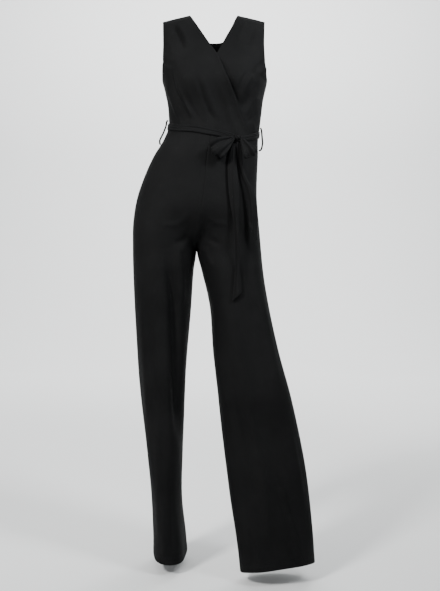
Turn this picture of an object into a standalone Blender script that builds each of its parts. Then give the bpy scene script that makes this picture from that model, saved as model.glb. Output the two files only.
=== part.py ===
"""Black wrap-front jumpsuit in stretch crepe, sleeveless, with a tied sash.

It keeps the hollow shape that it has when it is worn, with one foot a step forward. Metres, +Z up.
The origin is midway between the shoulder seams, at the height where the shoulders hold the garment.
"down" is the distance below the origin, "turn" is the angle round the body in degrees: 0 at centre
front, 90 at the wearer's left side (+X), 180 at centre back and -90 or 270 at the right side (-X).
"""

import math

import bmesh
import bpy
import numpy as np
from mathutils import Vector

CLOTH = 0.0015  # thickness of one layer of crepe as it is built
SEAM_GAP = 0.0003
SQUARENESS = 2.3  # 2 is an ellipse, more is squarer
WAIST = 0.338  # level of the waist seam before it dips to the knot
CROTCH = 0.648
CROTCH_POINT = (-0.046, -0.062)
SEAT = 0.530  # from here down the hips part into two legs
THIGH = 0.710  # below this level each leg is a tube of its own all the way round
UNDERARM = 0.192
NECK_POINT = 0.067  # half the distance between the two neck ends of the shoulder seams
SHOULDER_SLOPE = 0.19
BACK_NECK_DROP = 0.050
WRAP_END = 54.0  # where each wrap edge meets the waist seam, in degrees from centre front
UNDER_WRAP = 0.0032  # how far the under front lies inside the over front
COLUMN_STEP = 9.0  # degrees between the columns at the waist, shared by every panel
CENTRE_HOLD = 8  # how closely cloth keeps to the centre seam above the crotch: more is closer
HEM = {"right": 1.454, "left": 1.452}
HEM_TILT = {"right": -0.050, "left": 0.073}
HEM_ARCH = {"right": 0.0, "left": 0.014}  # how far the middle of the front hem is lifted

BAND_HEIGHT = 0.018
BAND_THICKNESS = 0.0022
BAND_CLEARANCE = 0.0012
SASH_THICKNESS = 0.0022
KNOT_CENTRE = Vector((0.062, -0.160, -0.3665))
KNOT_HALF_SIZE = Vector((0.0092, 0.0089, 0.0078))
TAIL_CLEARANCE = 0.009
LONG_TAIL_SLANT, SHORT_TAIL_SLANT = -0.90, 1.80  # how steeply the ends are cut: below 0, longer at -X
LOOP_CORD_RADIUS = 0.0018
CREPE_BLACK = (0.0125, 0.0125, 0.0135)
CREPE_ROUGHNESS = 0.78
SHARP_ANGLE = 50  # degrees between faces above which an edge is shown sharp

TORSO = (
    ("down", "right", "left", "front", "seam", "back"),
    (0.000, -0.165, 0.165, 0.000, 0.000, 0.000),
    (0.004, -0.165, 0.165, -0.025, 0.000, 0.024),
    (0.014, -0.164, 0.164, -0.045, -0.001, 0.040),
    (0.032, -0.163, 0.163, -0.063, -0.003, 0.054),
    (0.058, -0.161, 0.161, -0.079, -0.006, 0.065),
    (0.090, -0.158, 0.158, -0.094, -0.011, 0.073),
    (0.130, -0.153, 0.154, -0.114, -0.020, 0.079),
    (0.170, -0.146, 0.149, -0.136, -0.029, 0.078),
    (0.205, -0.135, 0.142, -0.149, -0.038, 0.069),
    (0.240, -0.127, 0.134, -0.151, -0.046, 0.055),
    (0.285, -0.121, 0.128, -0.149, -0.056, 0.036),
    (0.320, -0.1205, 0.1235, -0.149, -0.063, 0.024),
    (0.354, -0.133, 0.1190, -0.153, -0.065, 0.022),
    (0.400, -0.161, 0.1187, -0.161, -0.063, 0.033),
    (0.450, -0.184, 0.1165, -0.171, -0.060, 0.050),
    (0.510, -0.205, 0.1160, -0.178, -0.057, 0.066),
    (0.570, -0.215, 0.1205, -0.179, -0.058, 0.068),
    (0.648, -0.216, 0.1270, -0.173, -0.062, 0.052),
    (0.700, -0.216, 0.1310, -0.165, -0.065, 0.040),
)

# The garment's bust: two soft rises that the darts and the wrap would shape on any figure.
BUST = {"rise": 0.013, "apart": 0.070, "down": 0.208, "wide": 0.046, "high": 0.052}

ARMHOLE = (
    ("down", "share"),  # share of the half width where the armhole edge runs
    (0.000, 0.848),
    (0.050, 0.850),
    (0.100, 0.868),
    (0.148, 0.912),
    (0.170, 0.945),
    (0.184, 0.976),
    (0.192, 1.000),
)

NECKLINE = (
    ("down", "over", "under"),  # x of each front's neck and wrap edge
    (0.000, -0.0670, 0.0670),
    (0.022, -0.0570, 0.0590),
    (0.050, -0.0420, 0.0490),
    (0.083, -0.0230, 0.0330),
    (0.110, -0.0070, 0.0205),
    (0.1354, 0.0086, 0.0086),
    (0.1955, 0.0300, -0.0128),
    (0.2500, 0.0535, -0.0363),
    (0.2800, 0.0680, -0.0520),
)

WAIST_LINE = (
    ("turn", "down"),
    (-90.0, 0.3170),
    (-45.0, 0.3340),
    (-15.0, 0.3420),
    (5.0, 0.3520),
    (20.0, 0.3600),
    (33.0, 0.3650),
    (60.0, 0.3540),
    (90.0, 0.3400),
    (135.0, 0.3320),
    (180.0, 0.3280),
    (225.0, 0.3220),
    (270.0, 0.3170),
)

CENTRE_SEAM = (
    ("down", "turn"),  # where the centre front and centre back seams run round the hips
    (0.338, 0.0),
    (0.400, 2.0),
    (0.500, 5.0),
    (0.580, 3.0),
    (0.648, 0.0),
)

LEG = {
    "right": (
        ("down", "low_x", "high_x", "low_y", "high_y", "front", "back"),
        (0.520, -0.208, -0.043, -0.060, -0.060, 0.116, 0.122),
        (0.590, -0.216, -0.045, -0.061, -0.061, 0.110, 0.116),
        (0.648, -0.216, -0.046, -0.062, -0.062, 0.101, 0.106),
        (0.700, -0.2148, -0.0535, -0.063, -0.064, 0.098, 0.100),
        (0.790, -0.2110, -0.0610, -0.065, -0.064, 0.094, 0.094),
        (0.920, -0.2026, -0.0710, -0.068, -0.066, 0.089, 0.089),
        (1.050, -0.1920, -0.0767, -0.071, -0.069, 0.086, 0.086),
        (1.180, -0.1785, -0.0821, -0.074, -0.072, 0.086, 0.086),
        (1.307, -0.1650, -0.0835, -0.077, -0.075, 0.089, 0.089),
        (1.414, -0.1597, -0.0740, -0.080, -0.078, 0.093, 0.092),
        (1.454, -0.1583, -0.0716, -0.081, -0.079, 0.095, 0.094),
    ),
    "left": (
        ("down", "low_x", "high_x", "low_y", "high_y", "front", "back"),
        (0.520, -0.043, 0.116, -0.060, -0.060, 0.116, 0.122),
        (0.590, -0.045, 0.122, -0.061, -0.061, 0.110, 0.116),
        (0.648, -0.046, 0.127, -0.062, -0.062, 0.101, 0.106),
        (0.700, -0.0330, 0.1315, -0.073, -0.070, 0.097, 0.100),
        (0.790, -0.0121, 0.1441, -0.093, -0.083, 0.092, 0.093),
        (0.918, -0.0014, 0.1691, -0.117, -0.100, 0.084, 0.084),
        (1.041, 0.0144, 0.2014, -0.139, -0.117, 0.077, 0.076),
        (1.162, 0.0299, 0.2253, -0.160, -0.133, 0.070, 0.069),
        (1.281, 0.0450, 0.2412, -0.181, -0.149, 0.064, 0.064),
        (1.378, 0.0600, 0.2500, -0.197, -0.161, 0.061, 0.061),
        (1.452, 0.0673, 0.2546, -0.208, -0.169, 0.060, 0.060),
    ),
}

# Large folds: the panel, the route of each as (x, down), how far it rises (or sinks, below 0), and
# how far from its route it reaches.
FOLDS = (
    ("panel", "route", "rise", "reach"),
    ("bodice_front_over", ((-0.118, 0.150), (-0.098, 0.215), (-0.070, 0.285)), -0.0040, 0.012),
    ("bodice_front_over", ((-0.112, 0.030), (-0.090, 0.075), (-0.078, 0.110)), -0.0035, 0.011),
    ("bodice_front_over", ((-0.045, 0.215), (-0.012, 0.300)), 0.0025, 0.012),
    ("bodice_front_under", ((0.105, 0.195), (0.085, 0.255)), 0.0020, 0.012),
    ("bodice_back", ((0.090, 0.180), (0.060, 0.290)), 0.0035, 0.014),
    ("bodice_back", ((-0.085, 0.190), (-0.062, 0.290)), 0.0030, 0.014),
    (
        "trouser_front_right",
        ((-0.119, 0.655), (-0.100, 0.785), (-0.096, 0.910), (-0.093, 1.043), (-0.090, 1.156)),
        -0.0150,
        0.016,
    ),
    ("trouser_front_left", ((0.030, 0.780), (0.060, 0.900), (0.100, 1.060)), 0.0050, 0.022),
    ("trouser_front_left", ((0.172, 1.270), (0.205, 1.380)), -0.0050, 0.016),
    ("trouser_back_right", ((-0.150, 0.700), (-0.140, 0.900), (-0.128, 1.200)), -0.0100, 0.018),
    ("trouser_back_left", ((0.040, 0.720), (0.085, 0.930), (0.140, 1.250)), -0.0090, 0.020),
)

BODICE_LEVELS = (
    0.0, 0.004, 0.014, 0.032, 0.058, 0.090, 0.120, 0.148, 0.170, 0.184, 0.192,
    0.215, 0.240, 0.267, 0.293, 0.317, WAIST,
)
HIP_LEVELS = (WAIST, 0.365, 0.400, 0.440, 0.485, 0.530, 0.570, 0.600, 0.624, 0.641, CROTCH)
LEG_ROWS = 10
LEG_FRONT_FROM = 0.600  # below this level the tails may hang in front of the left leg's own tube
SIDE_SEAM_TURN = {
    ("front", "right"): -90,
    ("front", "left"): 90,
    ("back", "left"): 90,
    ("back", "right"): 270,
}


def smooth_column(table, name):
    """A smooth function of the table's first column that passes through the named column."""
    header, rows = table[0], np.array(table[1:])
    places, values = rows[:, 0], rows[:, header.index(name)]
    slopes = np.gradient(values, places)

    def value(place):
        if place <= places[0]:
            return values[0] + slopes[0] * (place - places[0])
        if place >= places[-1]:
            return values[-1] + slopes[-1] * (place - places[-1])
        left = int(np.searchsorted(places, place, side="right")) - 1
        step = places[left + 1] - places[left]
        t = (place - places[left]) / step
        return (
            values[left] * (1 + 2 * t) * (1 - t) ** 2
            + values[left + 1] * (3 - 2 * t) * t**2
            + step * (slopes[left] * t * (1 - t) ** 2 - slopes[left + 1] * t**2 * (1 - t))
        )

    return value


def smooth_columns(table):
    return {name: smooth_column(table, name) for name in table[0][1:]}


def ease(low, high, value):
    """0 at low, 1 at high, with soft ends."""
    t = min(1.0, max(0.0, (value - low) / (high - low)))
    return t * t * (3 - 2 * t)


def rounded(value):
    """A sine or cosine, made squarer."""
    return math.copysign(abs(value) ** (2 / SQUARENESS), value)


torso = smooth_columns(TORSO)
armhole_share = smooth_column(ARMHOLE, "share")
waist_line = smooth_column(WAIST_LINE, "down")
centre_seam = smooth_column(CENTRE_SEAM, "turn")
legs = {side: smooth_columns(table) for side, table in LEG.items()}


def near_route(x, down, route):
    """How far a place is from a route of straight stretches, and how far along it, from 0 to 1."""
    place = np.array((x, down))
    stretches = [math.dist(start, end) for start, end in zip(route, route[1:])]
    nearest, along, done = math.inf, 0.0, 0.0
    for start, end, length in zip(np.array(route[:-1]), np.array(route[1:]), stretches):
        share = float(np.clip(np.dot(place - start, end - start) / length**2, 0, 1))
        away = float(np.linalg.norm(place - start - share * (end - start)))
        if away < nearest:
            nearest, along = away, (done + share * length) / sum(stretches)
        done += length
    return nearest, along


def fold_rise(panel, x, down, sunk_only=False):
    """How far the panel's large folds lift the cloth. Each fold fades out towards both its ends."""
    total = 0.0
    for owner, route, rise, reach in FOLDS[1:]:
        if owner != panel or (sunk_only and rise > 0):
            continue
        away, along = near_route(x, down, route)
        fade = ease(0.0, 0.30, along + 0.06) * ease(0.0, 0.30, 1.06 - along)
        total += rise * fade * math.exp(-((away / reach) ** 2))
    return total


def body_middle(down):
    return (torso["right"](down) + torso["left"](down)) / 2


def body_half_width(down):
    return (torso["left"](down) - torso["right"](down)) / 2


def turn_at(down, x):
    """The turn, from -90 to 90, at which the body's front is at x."""
    share = (x - body_middle(down)) / body_half_width(down)
    return math.degrees(math.asin(math.copysign(min(1, abs(share)) ** (SQUARENESS / 2), share)))


def body_point(down, turn, out=0.0):
    """A point of the bodice and hips: a level section at each distance down, rounded over the shoulder."""
    sine, cosine = math.sin(math.radians(turn)), math.cos(math.radians(turn))
    half = body_half_width(down)
    x = body_middle(down) + half * rounded(sine)
    seam = torso["seam"](down)
    depth = seam - torso["front"](down) if cosine > 0 else torso["back"](down) - seam
    y = seam - depth * rounded(cosine)
    if cosine > 0:
        across = math.exp(-(((abs(x) - BUST["apart"]) / BUST["wide"]) ** 2))
        y -= BUST["rise"] * across * math.exp(-(((down - BUST["down"]) / BUST["high"]) ** 2))
    drop = SHOULDER_SLOPE * max(0.0, abs(x) - NECK_POINT) * (1 - ease(0.0, 0.12, down))
    outward = Vector((max(depth, 0.01) * sine, -half * cosine, 0)).normalized()
    return Vector((x, y, -abs(down) - drop)) + outward * out


def dipped(level, turn):
    """The distance down of a level that follows the waist line near the waist."""
    nearness = ease(0.20, WAIST, level) if level < WAIST else 1 - ease(WAIST, 0.47, level)
    turn = (turn + 90) % 360 - 90
    return level + (waist_line(turn) - WAIST) * nearness


def at_row(levels, row):
    """The level at a row, which may lie between two rows or half a row past the ends."""
    left = int(min(max(math.floor(row), 0), len(levels) - 2))
    return levels[left] + (levels[left + 1] - levels[left]) * (row - left)


def side_turn(level):
    """The turn of the armhole edge above the underarm, and of the side seam below it."""
    if level >= UNDERARM:
        return 90.0
    return math.degrees(math.asin(min(1.0, armhole_share(level)) ** (SQUARENESS / 2)))


def wrap_turn(level, front):
    """The turn of a front's neck and wrap edge: +54 degrees at the waist for the over front."""
    end = WRAP_END if front == "over" else -WRAP_END
    last = NECKLINE[-1][0]
    edge = smooth_column(NECKLINE, front)
    if level <= last:
        return turn_at(level, edge(level))
    start = turn_at(last, edge(last))
    return start + (end - start) * (level - last) / (WAIST - last)


def bodice_front(front):
    columns = round((90 + WRAP_END) / COLUMN_STEP)
    panel = "bodice_front_" + front

    def surface(row, column):
        level = at_row(BODICE_LEVELS, row)
        share = column / columns
        if front == "over":
            first, last = -side_turn(level), wrap_turn(level, front)
        else:
            first, last = wrap_turn(level, front), side_turn(level)
        turn = first + (last - first) * share
        down = dipped(level, turn)
        x = body_point(down, turn).x
        out = fold_rise(panel, x, down)
        if front == "under":
            inside = ease(0.03, 0.11, level) * ease(0.0, 26.0, side_turn(level) - turn)
            out += inside * (fold_rise("bodice_front_over", x, down, sunk_only=True) - UNDER_WRAP)
        edges = ease(0.0, 0.03, level) * ease(0.0, 0.02, WAIST - level)
        return body_point(down, turn, out * edges if front == "over" else out)

    return surface, len(BODICE_LEVELS) - 1, columns


def bodice_back():
    columns = round(180 / COLUMN_STEP)
    neck_columns = 8
    strap_columns = (columns - neck_columns) // 2
    neck_turn = turn_at(0.0, NECK_POINT)

    def top_turn(column):
        """Degrees from centre back at the top edge: the two shoulder seams, and the neck between them."""
        from_middle = column - columns / 2
        outside = max(0.0, abs(from_middle) - neck_columns / 2)
        strap = (side_turn(0.0) - neck_turn) * outside / strap_columns
        neck = neck_turn * min(abs(from_middle), neck_columns / 2) / (neck_columns / 2)
        return math.copysign(strap + neck, from_middle)

    def surface(row, column):
        side_level = at_row(BODICE_LEVELS, row)
        spread = side_turn(side_level) / side_turn(0.0)
        even = side_turn(side_level) * (2 * column / columns - 1)
        settled = ease(0.0, 0.15, side_level)
        turn = 180 + (1 - settled) * spread * top_turn(column) + settled * even
        neck_share = min(1.0, abs(top_turn(column)) / neck_turn)
        drop = BACK_NECK_DROP * math.sqrt(1 - neck_share**2)
        level = side_level + drop * (1 - side_level / WAIST)
        down = dipped(level, turn)
        x = body_point(down, turn).x
        edges = ease(0.0, 0.02, WAIST - side_level)
        return body_point(down, turn, fold_rise("bodice_back", x, down) * edges)

    return surface, len(BODICE_LEVELS) - 1, columns


def leg_point(side, down, turn, out=0.0):
    """A point of one leg: 0 faces front, 90 is the end at high x and -90 the end at low x."""
    leg = legs[side]
    low = Vector((leg["low_x"](down), leg["low_y"](down), 0))
    high = Vector((leg["high_x"](down), leg["high_y"](down), 0))
    if down < CROTCH:  # both legs share their inner end above the crotch
        inner = Vector((*CROTCH_POINT, 0))
        low, high = (low, inner) if side == "right" else (inner, high)
    half = (high - low) / 2
    ahead = Vector((half.y, -half.x, 0)).normalized()
    sine, cosine = math.sin(math.radians(turn)), math.cos(math.radians(turn))
    depth = leg["front"](down) if cosine > 0 else leg["back"](down)
    point = (low + high) / 2 + half * rounded(sine) + ahead * depth * rounded(cosine)
    tilt = HEM_TILT[side] * (point.x - (low.x + high.x) / 2)
    arch = HEM_ARCH[side] * max(0.0, rounded(cosine))
    point.z = -down + ease(CROTCH, HEM[side], down) * (tilt + arch)
    return point + (half.normalized() * sine + ahead * cosine) * out


def trouser(side, face):
    """One of the four trouser panels, from the waist seam to the hem."""
    panel = f"trouser_{face}_{side}"
    columns = round(90 / COLUMN_STEP)
    fractions = np.linspace(0, 1, LEG_ROWS + 1)[1:]
    levels = HIP_LEVELS + tuple(CROTCH + f * (HEM[side] - CROTCH) for f in fractions)
    rise_start = 0.545 if face == "front" else 0.515
    at_start = (side == "left") == (face == "front")  # the centre seam is at column 0

    def surface(row, column):
        level = at_row(levels, row)
        share = column / columns
        centre = centre_seam(min(level, CROTCH)) * (1 if face == "front" else -1)
        centre += 0 if face == "front" else 180
        side_seam = SIDE_SEAM_TURN[face, side]
        first, last = (centre, side_seam) if at_start else (side_seam, centre)
        turn = first + (last - first) * share
        down = dipped(level, turn)
        leg_turn = (-90 if face == "front" else 90) + 180 * share
        at_seam = min(1.0, 1 - share if at_start else share) ** CENTRE_HOLD  # 1 at the centre seam
        start = min(1.0, max(0.0, (level - rise_start) / (CROTCH - rise_start)))
        at_centre = 1 - math.sqrt(1 - start**2)
        weight = at_centre * at_seam + ease(SEAT, THIGH, level) * (1 - at_seam)
        x = (1 - weight) * body_point(down, turn).x + weight * leg_point(side, level, leg_turn).x
        window = ease(0.0, 0.16, min(share, 1 - share))
        out = fold_rise(panel, x, level) * window
        apart = Vector((SEAM_GAP / 2 * (1 if side == "left" else -1), 0, 0))
        on_body = body_point(down, turn, out)
        on_leg = leg_point(side, level, leg_turn, out) + apart
        return on_body * (1 - weight) + on_leg * weight

    return surface, len(levels) - 1, columns


def new_object(name, mesh):
    mesh.materials.append(fabric(name))
    mesh.shade_smooth()
    mesh.set_sharp_from_angle(angle=math.radians(SHARP_ANGLE))
    made = bpy.data.objects.new(name, mesh)
    bpy.context.scene.collection.objects.link(made)
    return made


def closed_mesh(name, points, faces):
    mesh = bpy.data.meshes.new(name)
    shape = bmesh.new()
    corners = [shape.verts.new(point) for point in points]
    for face in faces:
        shape.faces.new([corners[index] for index in face])
    bmesh.ops.recalc_face_normals(shape, faces=shape.faces)
    shape.to_mesh(mesh)
    shape.free()
    return mesh


def cloth_wall(surface, rows, columns, thickness):
    """Points and faces of the wall whose outer side is the surface, drawn in at its edges by half a seam."""
    outer, inner = [], []
    for row in range(rows + 1):
        for column in range(columns + 1):
            point = surface(row, column)
            a, b = surface(row - 0.5, column - 0.5), surface(row - 0.5, column + 0.5)
            c, d = surface(row + 0.5, column + 0.5), surface(row + 0.5, column - 0.5)
            across = (b + c - a - d).normalized()
            along = (c + d - a - b).normalized()
            normal = (c - a).cross(b - d).normalized()
            if column in (0, columns):
                crossing = (surface(row, column + 0.5) - surface(row, column - 0.5)).normalized()
                normal = (normal - crossing * normal.dot(crossing)).normalized()
                point += crossing * (SEAM_GAP / 2 if column == 0 else -SEAM_GAP / 2)
            if row in (0, rows):
                crossing = (surface(row + 0.5, column) - surface(row - 0.5, column)).normalized()
                if row == 0 or abs(crossing.z) > 0.5:
                    normal = (normal - crossing * normal.dot(crossing)).normalized()
                point += crossing * (SEAM_GAP / 2 if row == 0 else -SEAM_GAP / 2)
            outer.append(point)
            inner.append(point - normal * thickness)
    return outer + inner, wall_faces(rows, columns)


def wall_faces(rows, columns):
    """Quads of a grid's outer side, its inner side and the rim between them."""
    wide = columns + 1
    back = (rows + 1) * wide
    faces = []
    for row in range(rows):
        for column in range(columns):
            a = row * wide + column
            faces.append((a, a + 1, a + 1 + wide, a + wide))
            faces.append((back + a, back + a + wide, back + a + 1 + wide, back + a + 1))
    rim = [column for column in range(columns)]
    rim += [row * wide + columns for row in range(rows)]
    rim += [rows * wide + column for column in range(columns, 0, -1)]
    rim += [row * wide for row in range(rows, 0, -1)]
    for start, end in zip(rim, rim[1:] + rim[:1]):
        faces.append((start, start + back, end + back, end))
    return faces


def fabric(name):
    material = bpy.data.materials.new(name)
    material.use_nodes = True
    shader = material.node_tree.nodes["Principled BSDF"]
    shader.inputs["Base Color"].default_value = (*CREPE_BLACK, 1)
    shader.inputs["Roughness"].default_value = CREPE_ROUGHNESS
    shader.inputs["Metallic"].default_value = 0.0
    return material


def add_panel(name, made):
    surface, rows, columns = made
    points, faces = cloth_wall(surface, rows, columns, CLOTH)
    return new_object(name, closed_mesh(name, points, faces))


def add_sash_band():
    """A flat ring round the waist, over the waist seam."""
    inner, outer = BAND_CLEARANCE, BAND_CLEARANCE + BAND_THICKNESS
    section = (
        (-BAND_HEIGHT / 2, inner),
        (BAND_HEIGHT / 2, inner),
        (BAND_HEIGHT / 2, outer - 0.0006),
        (0.0, outer),
        (-BAND_HEIGHT / 2, outer - 0.0006),
    )
    turns = np.arange(-90, 270, COLUMN_STEP)
    points = [
        body_point(waist_line(turn) + lower, turn, out) for turn in turns for lower, out in section
    ]
    sides, count = len(section), len(points)
    faces = []
    for start in range(0, count, sides):
        for side in range(sides):
            across = start + (side + 1) % sides
            behind, diagonal = (start + side + sides) % count, (across + sides) % count
            faces.append((start + side, across, diagonal, behind))
    return new_object("sash_band", closed_mesh("sash_band", points, faces))


def add_ribbon(name, rows, spread, slant=0.0):
    """A strip of sash: each row is a place of its centre line and half its width, spread its direction.

    slant is how far the cut end drops for each metre along spread.
    """
    across = 4
    last = len(rows) - 1
    centres = [Vector(row[:3]) for row in rows]
    halves = [row[3] for row in rows]

    def surface(row, column):
        left = int(min(max(math.floor(row), 0), len(rows) - 2))
        share = row - left
        centre = centres[left].lerp(centres[left + 1], share)
        half = halves[left] + (halves[left + 1] - halves[left]) * share
        aside = half * (2 * column / across - 1)
        drop = slant * aside * ease(0.8, 1.0, row / last)
        return centre + spread * aside + Vector((0, 0, -drop))

    points, faces = cloth_wall(surface, last, across, SASH_THICKNESS)
    return new_object(name, closed_mesh(name, points, faces))


def through(places, count):
    """Points spaced along a smooth curve through the places."""
    table = [("share", "a", "b", "c", "d")]
    table += [(index, *place) for index, place in enumerate(places)]
    columns = [smooth_column(table, name) for name in "abcd"]
    return [tuple(column(t) for column in columns) for t in np.linspace(0, len(places) - 1, count)]


def add_bow_loop(name, start, direction, profile):
    """A loop of the bow: out along its direction in front, round its end and back behind."""
    direction = Vector(direction).normalized()
    spread = Vector((direction.z, 0, -direction.x)) * (1 if direction.x < 0 else -1)
    places = [
        (*(Vector(start) + direction * along + Vector((0, y - start[1], 0))), half)
        for along, y, half in profile[1:]
    ]
    return add_ribbon(name, through(places, BOW_LOOP_ROWS), spread)


BOW_LOOP_ROWS, TAIL_ROWS, CORD_ROWS = 16, 17, 14

RIGHT_BOW_LOOP = (
    ("along", "y", "half_width"),
    (0.000, -0.1662, 0.0045),
    (0.016, -0.1760, 0.0125),
    (0.036, -0.1860, 0.0215),
    (0.052, -0.1880, 0.0240),
    (0.061, -0.1840, 0.0240),
    (0.056, -0.1780, 0.0235),
    (0.036, -0.1720, 0.0200),
    (0.016, -0.1650, 0.0120),
    (0.000, -0.1600, 0.0050),
)
LEFT_BOW_LOOP = (
    ("along", "y", "half_width"),
    (0.000, -0.1662, 0.0045),
    (0.014, -0.1745, 0.0100),
    (0.032, -0.1830, 0.0160),
    (0.044, -0.1845, 0.0185),
    (0.052, -0.1810, 0.0185),
    (0.047, -0.1755, 0.0180),
    (0.032, -0.1710, 0.0155),
    (0.014, -0.1645, 0.0095),
    (0.000, -0.1600, 0.0045),
)
LONG_TAIL = (
    ("x", "down", "half_width"),
    (0.0570, 0.3765, 0.0040),
    (0.0500, 0.3950, 0.0075),
    (0.0482, 0.4400, 0.0118),
    (0.0528, 0.5130, 0.0128),
    (0.0566, 0.5640, 0.0090),
    (0.0604, 0.6150, 0.0056),
    (0.0620, 0.6790, 0.0052),
    (0.0612, 0.7300, 0.0086),
    (0.0599, 0.7740, 0.0122),
)
SHORT_TAIL = (
    ("x", "down", "half_width"),
    (0.0670, 0.3765, 0.0035),
    (0.0685, 0.3950, 0.0045),
    (0.0715, 0.4380, 0.0052),
    (0.0795, 0.4680, 0.0064),
    (0.0915, 0.4950, 0.0086),
    (0.1000, 0.5300, 0.0108),
    (0.1015, 0.5800, 0.0105),
    (0.1020, 0.6120, 0.0100),
)


def front_of_trousers(x, down):
    """The most forward y of the trousers at a place, with room for their folds."""
    on_body = body_point(down, turn_at(down, x)).y if down < CROTCH else 0.0
    leg = legs["left"]
    low, high = leg["low_x"](down), leg["high_x"](down)
    share = max(-1.0, min(1.0, (2 * x - low - high) / (high - low)))
    turn = math.degrees(math.asin(math.copysign(abs(share) ** (SQUARENESS / 2), share)))
    on_leg = leg_point("left", down, turn).y if down > LEG_FRONT_FROM else 0.0
    return min(on_body, on_leg)


def add_tail(name, profile, slant):
    """A tail of the sash, which hangs from the knot and stays just clear of the trousers."""
    start_y = KNOT_CENTRE.y + 0.003
    places = []
    for x, down, half in profile[1:]:
        reached = min(front_of_trousers(x + at, down) for at in (-half, 0, half)) - TAIL_CLEARANCE
        previous = places[-1][1] if places else start_y
        places.append((x, min(previous, reached), -down, half))
    return add_ribbon(name, through(places, TAIL_ROWS), Vector((1, 0, 0)), slant)


def add_knot():
    mesh = bpy.data.meshes.new("sash_knot")
    shape = bmesh.new()
    bmesh.ops.create_uvsphere(shape, u_segments=16, v_segments=10, radius=1.0)
    for corner in shape.verts:
        corner.co = Vector(rounded(part) for part in corner.co) * KNOT_HALF_SIZE + KNOT_CENTRE
    shape.to_mesh(mesh)
    shape.free()
    return new_object("sash_knot", mesh)


def add_belt_loop(name, route):
    """A thin cord loop, sewn to the side seam above and below the sash."""
    curve = bpy.data.curves.new(name, "CURVE")
    curve.dimensions = "3D"
    curve.bevel_depth = LOOP_CORD_RADIUS
    curve.bevel_resolution = 2
    curve.use_fill_caps = True
    points = through([(x, y, -down, 0.0) for x, y, down in route[1:]], CORD_ROWS)
    spline = curve.splines.new("POLY")
    spline.points.add(len(points) - 1)
    for knot, point in zip(spline.points, points):
        knot.co = (*point[:3], 1)
    curve.materials.append(fabric(name))
    made = bpy.data.objects.new(name, curve)
    bpy.context.scene.collection.objects.link(made)
    return made


RIGHT_BELT_LOOP = (
    ("x", "y", "down"),
    (-0.1225, -0.060, 0.2990),
    (-0.1262, -0.061, 0.3030),
    (-0.1285, -0.062, 0.3150),
    (-0.1350, -0.063, 0.3330),
    (-0.1415, -0.064, 0.3460),
    (-0.1445, -0.065, 0.3550),
    (-0.1445, -0.065, 0.3620),
    (-0.1418, -0.065, 0.3650),
)
LEFT_BELT_LOOP = (
    ("x", "y", "down"),
    (0.1250, -0.063, 0.3200),
    (0.1278, -0.064, 0.3240),
    (0.1290, -0.065, 0.3350),
    (0.1305, -0.065, 0.3500),
    (0.1310, -0.065, 0.3620),
    (0.1280, -0.064, 0.3770),
    (0.1208, -0.064, 0.3820),
)


def main():
    for old in list(bpy.data.objects):
        bpy.data.objects.remove(old, do_unlink=True)
    for front in ("over", "under"):
        add_panel("bodice_front_" + front, bodice_front(front))
    add_panel("bodice_back", bodice_back())
    for face in ("front", "back"):
        for side in ("right", "left"):
            add_panel(f"trouser_{face}_{side}", trouser(side, face))
    add_sash_band()
    add_knot()
    add_bow_loop("sash_loop_right", (0.0515, -0.1662, -0.368), (-0.79, 0, -0.61), RIGHT_BOW_LOOP)
    add_bow_loop("sash_loop_left", (0.0720, -0.1662, -0.372), (0.48, 0, -0.88), LEFT_BOW_LOOP)
    add_tail("sash_tail_long", LONG_TAIL, LONG_TAIL_SLANT)
    add_tail("sash_tail_short", SHORT_TAIL, SHORT_TAIL_SLANT)
    add_belt_loop("belt_loop_right", RIGHT_BELT_LOOP)
    add_belt_loop("belt_loop_left", LEFT_BELT_LOOP)


main()
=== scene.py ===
# %% [markdown]
# # A black wrap-front jumpsuit, worn and hollow
#
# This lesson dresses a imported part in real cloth. The part already holds the right size and place
# of every sewn piece as a plain faceted wall. Here each of them becomes a thin, creased shell of
# stretch crepe with turned edges, stitches and a sash tied in a bow.
#
# The garment is built on its own general figure: level sections at each distance down from the
# shoulders. A point of the cloth is named by how far down it is, in metres, and by its turn round
# the body in degrees: 0 at centre front, 90 at the wearer's left side, 180 at centre back.

# %% The fixed frame
import math

import bmesh
import bpy
import numpy as np
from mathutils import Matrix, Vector


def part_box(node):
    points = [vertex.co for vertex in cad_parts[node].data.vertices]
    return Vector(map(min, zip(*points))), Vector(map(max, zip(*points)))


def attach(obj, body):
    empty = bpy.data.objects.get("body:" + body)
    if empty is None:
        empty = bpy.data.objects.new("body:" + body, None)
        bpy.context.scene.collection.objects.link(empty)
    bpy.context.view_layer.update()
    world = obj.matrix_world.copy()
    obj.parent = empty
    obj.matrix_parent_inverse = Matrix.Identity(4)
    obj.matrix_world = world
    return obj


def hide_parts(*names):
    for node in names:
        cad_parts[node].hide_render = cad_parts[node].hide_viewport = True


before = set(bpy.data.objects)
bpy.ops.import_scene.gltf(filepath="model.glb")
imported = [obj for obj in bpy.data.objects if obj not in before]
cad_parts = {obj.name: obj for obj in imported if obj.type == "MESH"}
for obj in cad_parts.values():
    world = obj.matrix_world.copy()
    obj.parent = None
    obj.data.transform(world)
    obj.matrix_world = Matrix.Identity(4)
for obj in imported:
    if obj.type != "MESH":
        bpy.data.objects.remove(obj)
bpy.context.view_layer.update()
print("packed nodes:", len(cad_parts))

# %% [markdown]
# ## Reading a size table smoothly
#
# A pattern maker writes sizes at a few levels and lets a curve join them. `columns_of` does that:
# it turns each named column of a short table into a smooth function, a cubic with the slope of its
# neighbours at every row. Straight lines between the rows would show as rings round the legs.

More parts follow.
